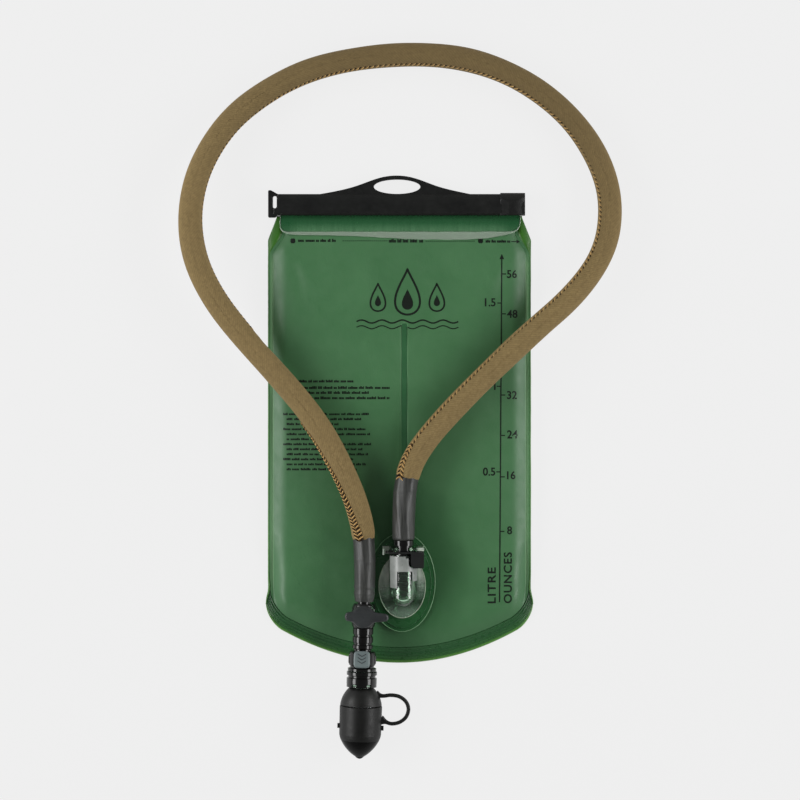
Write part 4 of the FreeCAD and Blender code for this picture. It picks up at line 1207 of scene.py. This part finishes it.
def make_stitches(path, s0, s1):
    """Zigzag threads along the cover's seam, and dark pieces beside them that are painted shade for the gaps
    of the stitching.
    """
    # the dark pieces beside the threads are painted shade for the gaps of the stitching
    gap_shades, threads = [], []

    def piece(s, psi, ds, dpsi, lift):
        t = np.linspace(-0.5, 0.5, 5)
        return path.around(s + ds * t, psi + dpsi * t, HOSE_R - 0.2 + lift)

    rng = np.random.default_rng(3)
    s = s0 + 22.0
    while s < s1 - 175.0:
        psi = seam_angle(s - s0, s1 - s0)
        gap_shades.append(piece(s, psi - 0.07, 2.3, 0.16, 0.1))
        threads.append(piece(s + 1.7, psi + 0.02, 2.6, 0.3, 0.1))
        s += 3.7 * rng.uniform(0.92, 1.08)
    for low, high, wide0, wide1 in ((s0 + 3.0, s0 + 25.0, 0.36, 0.24), (s1 - 100.0, s1 - 3.0, 0.16, 0.42)):
        s = low
        while s < high:
            wide = wide0 + (wide1 - wide0) * (s - low) / (high - low)
            psi = seam_angle(s - s0, s1 - s0) + rng.uniform(-0.02, 0.02)
            for way, lift in ((1, 0.34), (-1, 0.42)):
                threads.append(piece(s, psi - way * wide * 0.45, 2.3 * way, wide * 1.05, lift))
                gap_shades.append(piece(s + 1.5, psi - way * wide * 0.5, 2.0 * way, wide * 0.9, 0.14))
            gap_shades.append(piece(s + 0.9, psi, 1.6, 0.05, 0.16))
            s += 2.7 * rng.uniform(0.9, 1.1)
    return [
        capsules("seam_gap_shades", gap_shades, 0.5, "gap_shade"),
        capsules("seam_threads", threads, 0.45, "thread"),
    ]


def make_sleeves(path, start, end):
    """The shrunk sleeves over the plug's barb and over the valve's."""

    def plug_radius(s, psi):
        t = s / start
        body = 7.85 + 0.5 * t
        lip = 0.55 * (1 - smooth_step((start + 2.0 - s) / 1.4))
        foot = 0.6 * (1 - smooth_step(s / 1.4))
        folds = 0.16 * np.sin(4 * psi + 1.0 + s / 17.0) + 0.10 * np.sin(9 * psi - s / 7.0)
        tuck = bell(psi - 0.75 - 0.12 * math.sin(s / 4.0), 0.12) * math.sin(math.pi * t)
        pinch = 0.22 * bell(s - start + 9.0 + 2.0 * np.sin(psi), 1.0)
        return body - lip - foot + folds + 0.22 * tuck + pinch

    def valve_radius(s, psi):
        t = (s - end) / (path.total - end)
        left = path.total - s
        body = 7.75 - 0.35 * t
        lip = 0.6 * (1 - smooth_step((s - end + 2.0) / 1.4))
        waist = 0.75 * (1 - smooth_step(left / 5.0))
        rings = 0.3 * bell(left - 6.6, 0.9) + 0.3 * bell(left - 11.0, 0.9)
        folds = 0.16 * np.sin(3 * psi + 2.0 + s / 18.0) + 0.09 * np.sin(8 * psi - s / 7.0)
        tuck = bell(psi - 0.35 - 0.35 * t, 0.14) * math.sin(math.pi * min(1.0, t * 1.3))
        pinch = 0.18 * bell(s - end - 14.0 - 3.0 * np.sin(psi + 1), 1.2)
        return body - lip - waist + rings + folds + 0.25 * tuck + pinch

    plug_stops = np.arange(0.0, start + 2.01, 0.6)
    plug = tube_mesh("plug_sleeve_wrap", path, plug_stops, plug_radius, 56, "sleeve")
    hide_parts("plug_sleeve")
    valve_stops = np.arange(end - 2.0, path.total, 0.6)
    valve = tube_mesh("valve_sleeve_wrap", path, valve_stops, valve_radius, 56, "sleeve")
    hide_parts("valve_sleeve")
    return [plug, valve]


# ---- fittings ----

def grip_half(along):
    """Half width of the lever's grip bar at a distance along it."""
    tip = LEVER_RIGHT if along > 0 else LEVER_LEFT
    body = 3.9 - 0.07 * abs(along)
    left = tip - abs(along)
    return body if left > 1.9 else body * math.sqrt(max(0.0, 1 - ((1.9 - left) / 1.9) ** 2))


def wing_radius(angle):
    """The lever's outline: a round hub with a short grip and a long one."""
    c, s = math.cos(angle), abs(math.sin(angle))
    low, high = 0.0, LEVER_RIGHT if c > 0 else LEVER_LEFT
    for _ in range(40):
        r = (low + high) / 2
        if r * s > grip_half(r * c):
            high = r
        else:
            low = r
    return (LEVER_HUB_R ** 6 + low ** 6) ** (1 / 6)


def make_lever():
    count = 180
    base, top = 8.85, 11.2
    angles = full_turn(count)
    reach = np.array([wing_radius(a) for a in angles])
    for _ in range(2):
        reach = 0.25 * np.roll(reach, 1) + 0.5 * reach + 0.25 * np.roll(reach, -1)
    points = []
    for t in np.linspace(0.03, 1.0, 26):
        for a, r in zip(angles, reach):
            dist = t * r
            across = abs(dist * math.sin(a))
            dome = top - 0.008 * min(dist, 8.4) ** 2
            grip = 1.0 / (1 + (across / (grip_half(dist * math.cos(a)) + 0.3)) ** 8)
            roll = 1.1 * (1 - min(r * (1 - t) / 1.2, 1.0)) ** 2
            w = dome + 0.95 * grip * (1 - 0.02 * dist) - roll
            points.append((dist * math.cos(a), LEVER_V + dist * math.sin(a), w))
    for t, w in ((1.0, base + 0.35), (0.985, base)):
        points += [(t * r * math.cos(a), LEVER_V + t * r * math.sin(a), w) for a, r in zip(angles, reach)]
    faces = disc_faces(len(points) // count, count)
    points += [(0, LEVER_V, top), (0, LEVER_V, base)]
    lever = object_from("shutoff_lever", placed(points, STACK_AXIS), faces, "lever", "shut_off")
    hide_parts("valve_lever")
    return lever


def make_button():
    """Release button: a rounded pad with a bevelled rim and three raised arrows."""
    u0, v0, half_u, half_v = -0.3, -85.7, 5.9, 6.1
    top, base = 10.95, 8.3
    count, rings = 96, 14
    angles = full_turn(count)
    c, s = np.cos(angles), np.sin(angles)
    reach = (np.abs(c) ** 5 + np.abs(s) ** 5) ** (-1 / 5)
    outline = list(zip(half_u * c * reach, half_v * s * reach))
    points = []
    for t in np.linspace(0.02, 1.0, rings):
        rim = max(0.0, (t - 0.84) / 0.16)
        w = top + 0.12 * bell(t - 0.82, 0.05) - 0.8 * rim ** 1.6
        points += [(u0 + u * t, v0 + v * t, w) for u, v in outline]
    points += [(u0 + u, v0 + v, base) for u, v in outline]
    points += [(u0, v0, top), (u0, v0, base)]
    faces = disc_faces(rings + 1, count)
    pad_faces = len(faces)
    for i in range(3):
        v = v0 + 3.0 - 2.5 * i
        start = len(points)
        for along, back in ((-3.0, 1.25), (0.0, -0.55), (3.0, 1.25)):
            for step, w in ((0.42, 10.85), (0.0, 11.3), (-0.42, 10.85)):
                points.append((u0 + along, v + back + step, w))
        for a in (start, start + 3):
            faces += [(a, a + 1, a + 4, a + 3), (a + 1, a + 2, a + 5, a + 4)]
    place = placed(points, STACK_AXIS)
    button = object_from("release_button", place, faces, "button", "coupling_release")
    # the three arrows take the darker lever grey: painted shade along the raised arrows
    button.data.materials.append(LOOKS["lever"])
    for polygon in button.data.polygons[pad_faces:]:
        polygon.material_index = 1
    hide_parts("coupling_button")
    return button


def make_tether():
    """One rubber loop from the upper dome to the cap."""
    line = through([
        (10.6, -111.6, 0.0), (13.2, -112.4, 0.0), (16.5, -112.6, 0.0), (21.5, -111.9, 0.0),
        (27.5, -112.8, 0.0), (32.3, -116.3, 0.0), (34.3, -121.6, 0.0), (32.7, -127.4, 0.0),
        (28.2, -131.3, 0.0), (22.4, -132.6, 0.0), (17.6, -131.2, 0.0), (14.6, -130.2, 0.0),
    ], 90)
    t = run_lengths(line)
    t = t / t[-1]
    half = 1.38 + 1.5 * bell(t, 0.05) + 2.2 * bell(1 - t, 0.05)
    up = np.tile(UP, (len(line), 1))
    side = np.cross(up, unit(np.gradient(line, axis=0)))
    points = sweep(line, side, up, half, np.full(len(line), 1.3), 18, (0.75, 0.75))
    faces = flipped(tube_faces(len(line), 18))
    loop = object_from("tether_loop", placed(points, STACK_AXIS), faces, "soft", None)
    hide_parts("tether_ring", "tether_strap")
    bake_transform(loop)
    return loop


def oval_rim(name, u, v, half_u, half_v, w, thick, look):
    """A fine moulded ridge along an oval edge of the exit port."""
    count, ring = 144, 8
    c, s = np.cos(full_turn(count)), np.sin(full_turn(count))
    line = np.column_stack([u + half_u * c, v + half_v * s, np.full(count, w)])
    side = unit(np.column_stack([c / half_u, s / half_v, 0 * c]))
    half = np.full(count, thick)
    points = sweep(line, side, np.tile(UP, (count, 1)), half, half, ring)
    faces = [tuple(i % len(points) for i in f) for f in grid_faces(count + 1, ring, True)]
    object_from(name, placed(points, PORT_AXIS), flipped(faces), look)


def make_port_rims():
    # the flange ridge is painted pale green as a highlight line
    oval_rim("flange_ridge", -1.4, -31.6, 24.1, 35.6, -10.1, 0.35, "ridge")
    oval_rim("step_ridge", -1.3, -31.8, 21.1, 32.5, -9.3, 0.22, "flange")
    # the foot rim is milky pale, partly a painted highlight line
    oval_rim("foot_rim", -1.1, -34.0, 16.8, 23.0, -6.9, 0.32, "rim")


def make_spring(name, node, body):
    """A leaf spring on the button's or the latch's body, with a mesh of its own."""
    leaf = add_object(name, NODES[node].data.copy(), "steel", body)
    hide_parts(node)
    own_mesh(leaf)
    return leaf


def make_springs():
    leaf = make_spring("button_leaf", "coupling_spring", "drink_hose")
    make_spring("latch_leaf", "release_spring", "reservoir")
    return leaf


# ---- carried-over parts ----

DRESS = {
    "weld": ["centre_baffle"],
    "flange": ["port_flange"],
    "bar": ["slider_bar"],
    "black": ["release_latch"],
    "gloss": ["port_plug", "ribbed_barrel", "coupling_socket", "swivel_nut", "valve_body"],
    "nose": ["cap_nose"],
    "satin": ["dust_cap"],
    "soft": ["cover_collar", "tether_ring", "tether_strap"],
    "lever": ["valve_lever"],
    "collar": ["port_collar"],
    "rubber": ["plug_seals", "spool_seals", "coupling_seal"],
    "silicone": ["bite_valve"],
    "clear": ["port_housing", "swivel_stem", "coupling_insert", "valve_spool"],
    "tube": ["drink_tube"],
    "knit": ["hose_cover"],
    "sleeve": ["plug_sleeve", "valve_sleeve"],
    "back": ["back_panel", "mouth_rail"],
    "hem": ["bottom_hem"],
    "gusset": ["gusset_left", "gusset_right"],
    "flap": ["mouth_flap", "front_panel"],
}


def dress_nodes():
    for key, names in DRESS.items():
        for name in names:
            obj = NODES[name]
            if not obj.material_slots:
                obj.data.materials.append(LOOKS[key])
            for slot in obj.material_slots:
                slot.material = LOOKS[key]


def make_floor():
    size = 6000.0
    points = [(-size, -size, -0.15), (size, -size, -0.15), (size, size, -0.15), (-size, size, -0.15)]
    object_from("floor", points, [(0, 1, 2, 3)], "floor", None)


def main():
    make_camera()
    hose, centres, on_hose = make_hose()
    on_hose += [make_lever(), make_tether(), make_button(), make_springs()]
    on_hose += [NODES[name] for name in (
        "port_plug", "plug_seals", "valve_body", "valve_spool", "spool_seals", "ribbed_barrel",
        "coupling_socket", "coupling_insert", "coupling_seal",
        "swivel_nut", "swivel_stem", "bite_valve", "cover_collar", "dust_cap", "cap_nose",
    )]
    make_panels()
    make_gusset("side_gusset_left", "gusset_left", -1)
    make_gusset("side_gusset_right", "gusset_right", 1)
    make_hem()
    make_flap()
    make_scale()
    make_labels()
    make_notes()
    make_emblem()
    make_port_rims()
    dress_nodes()
    make_floor()
    make_lights()


main()
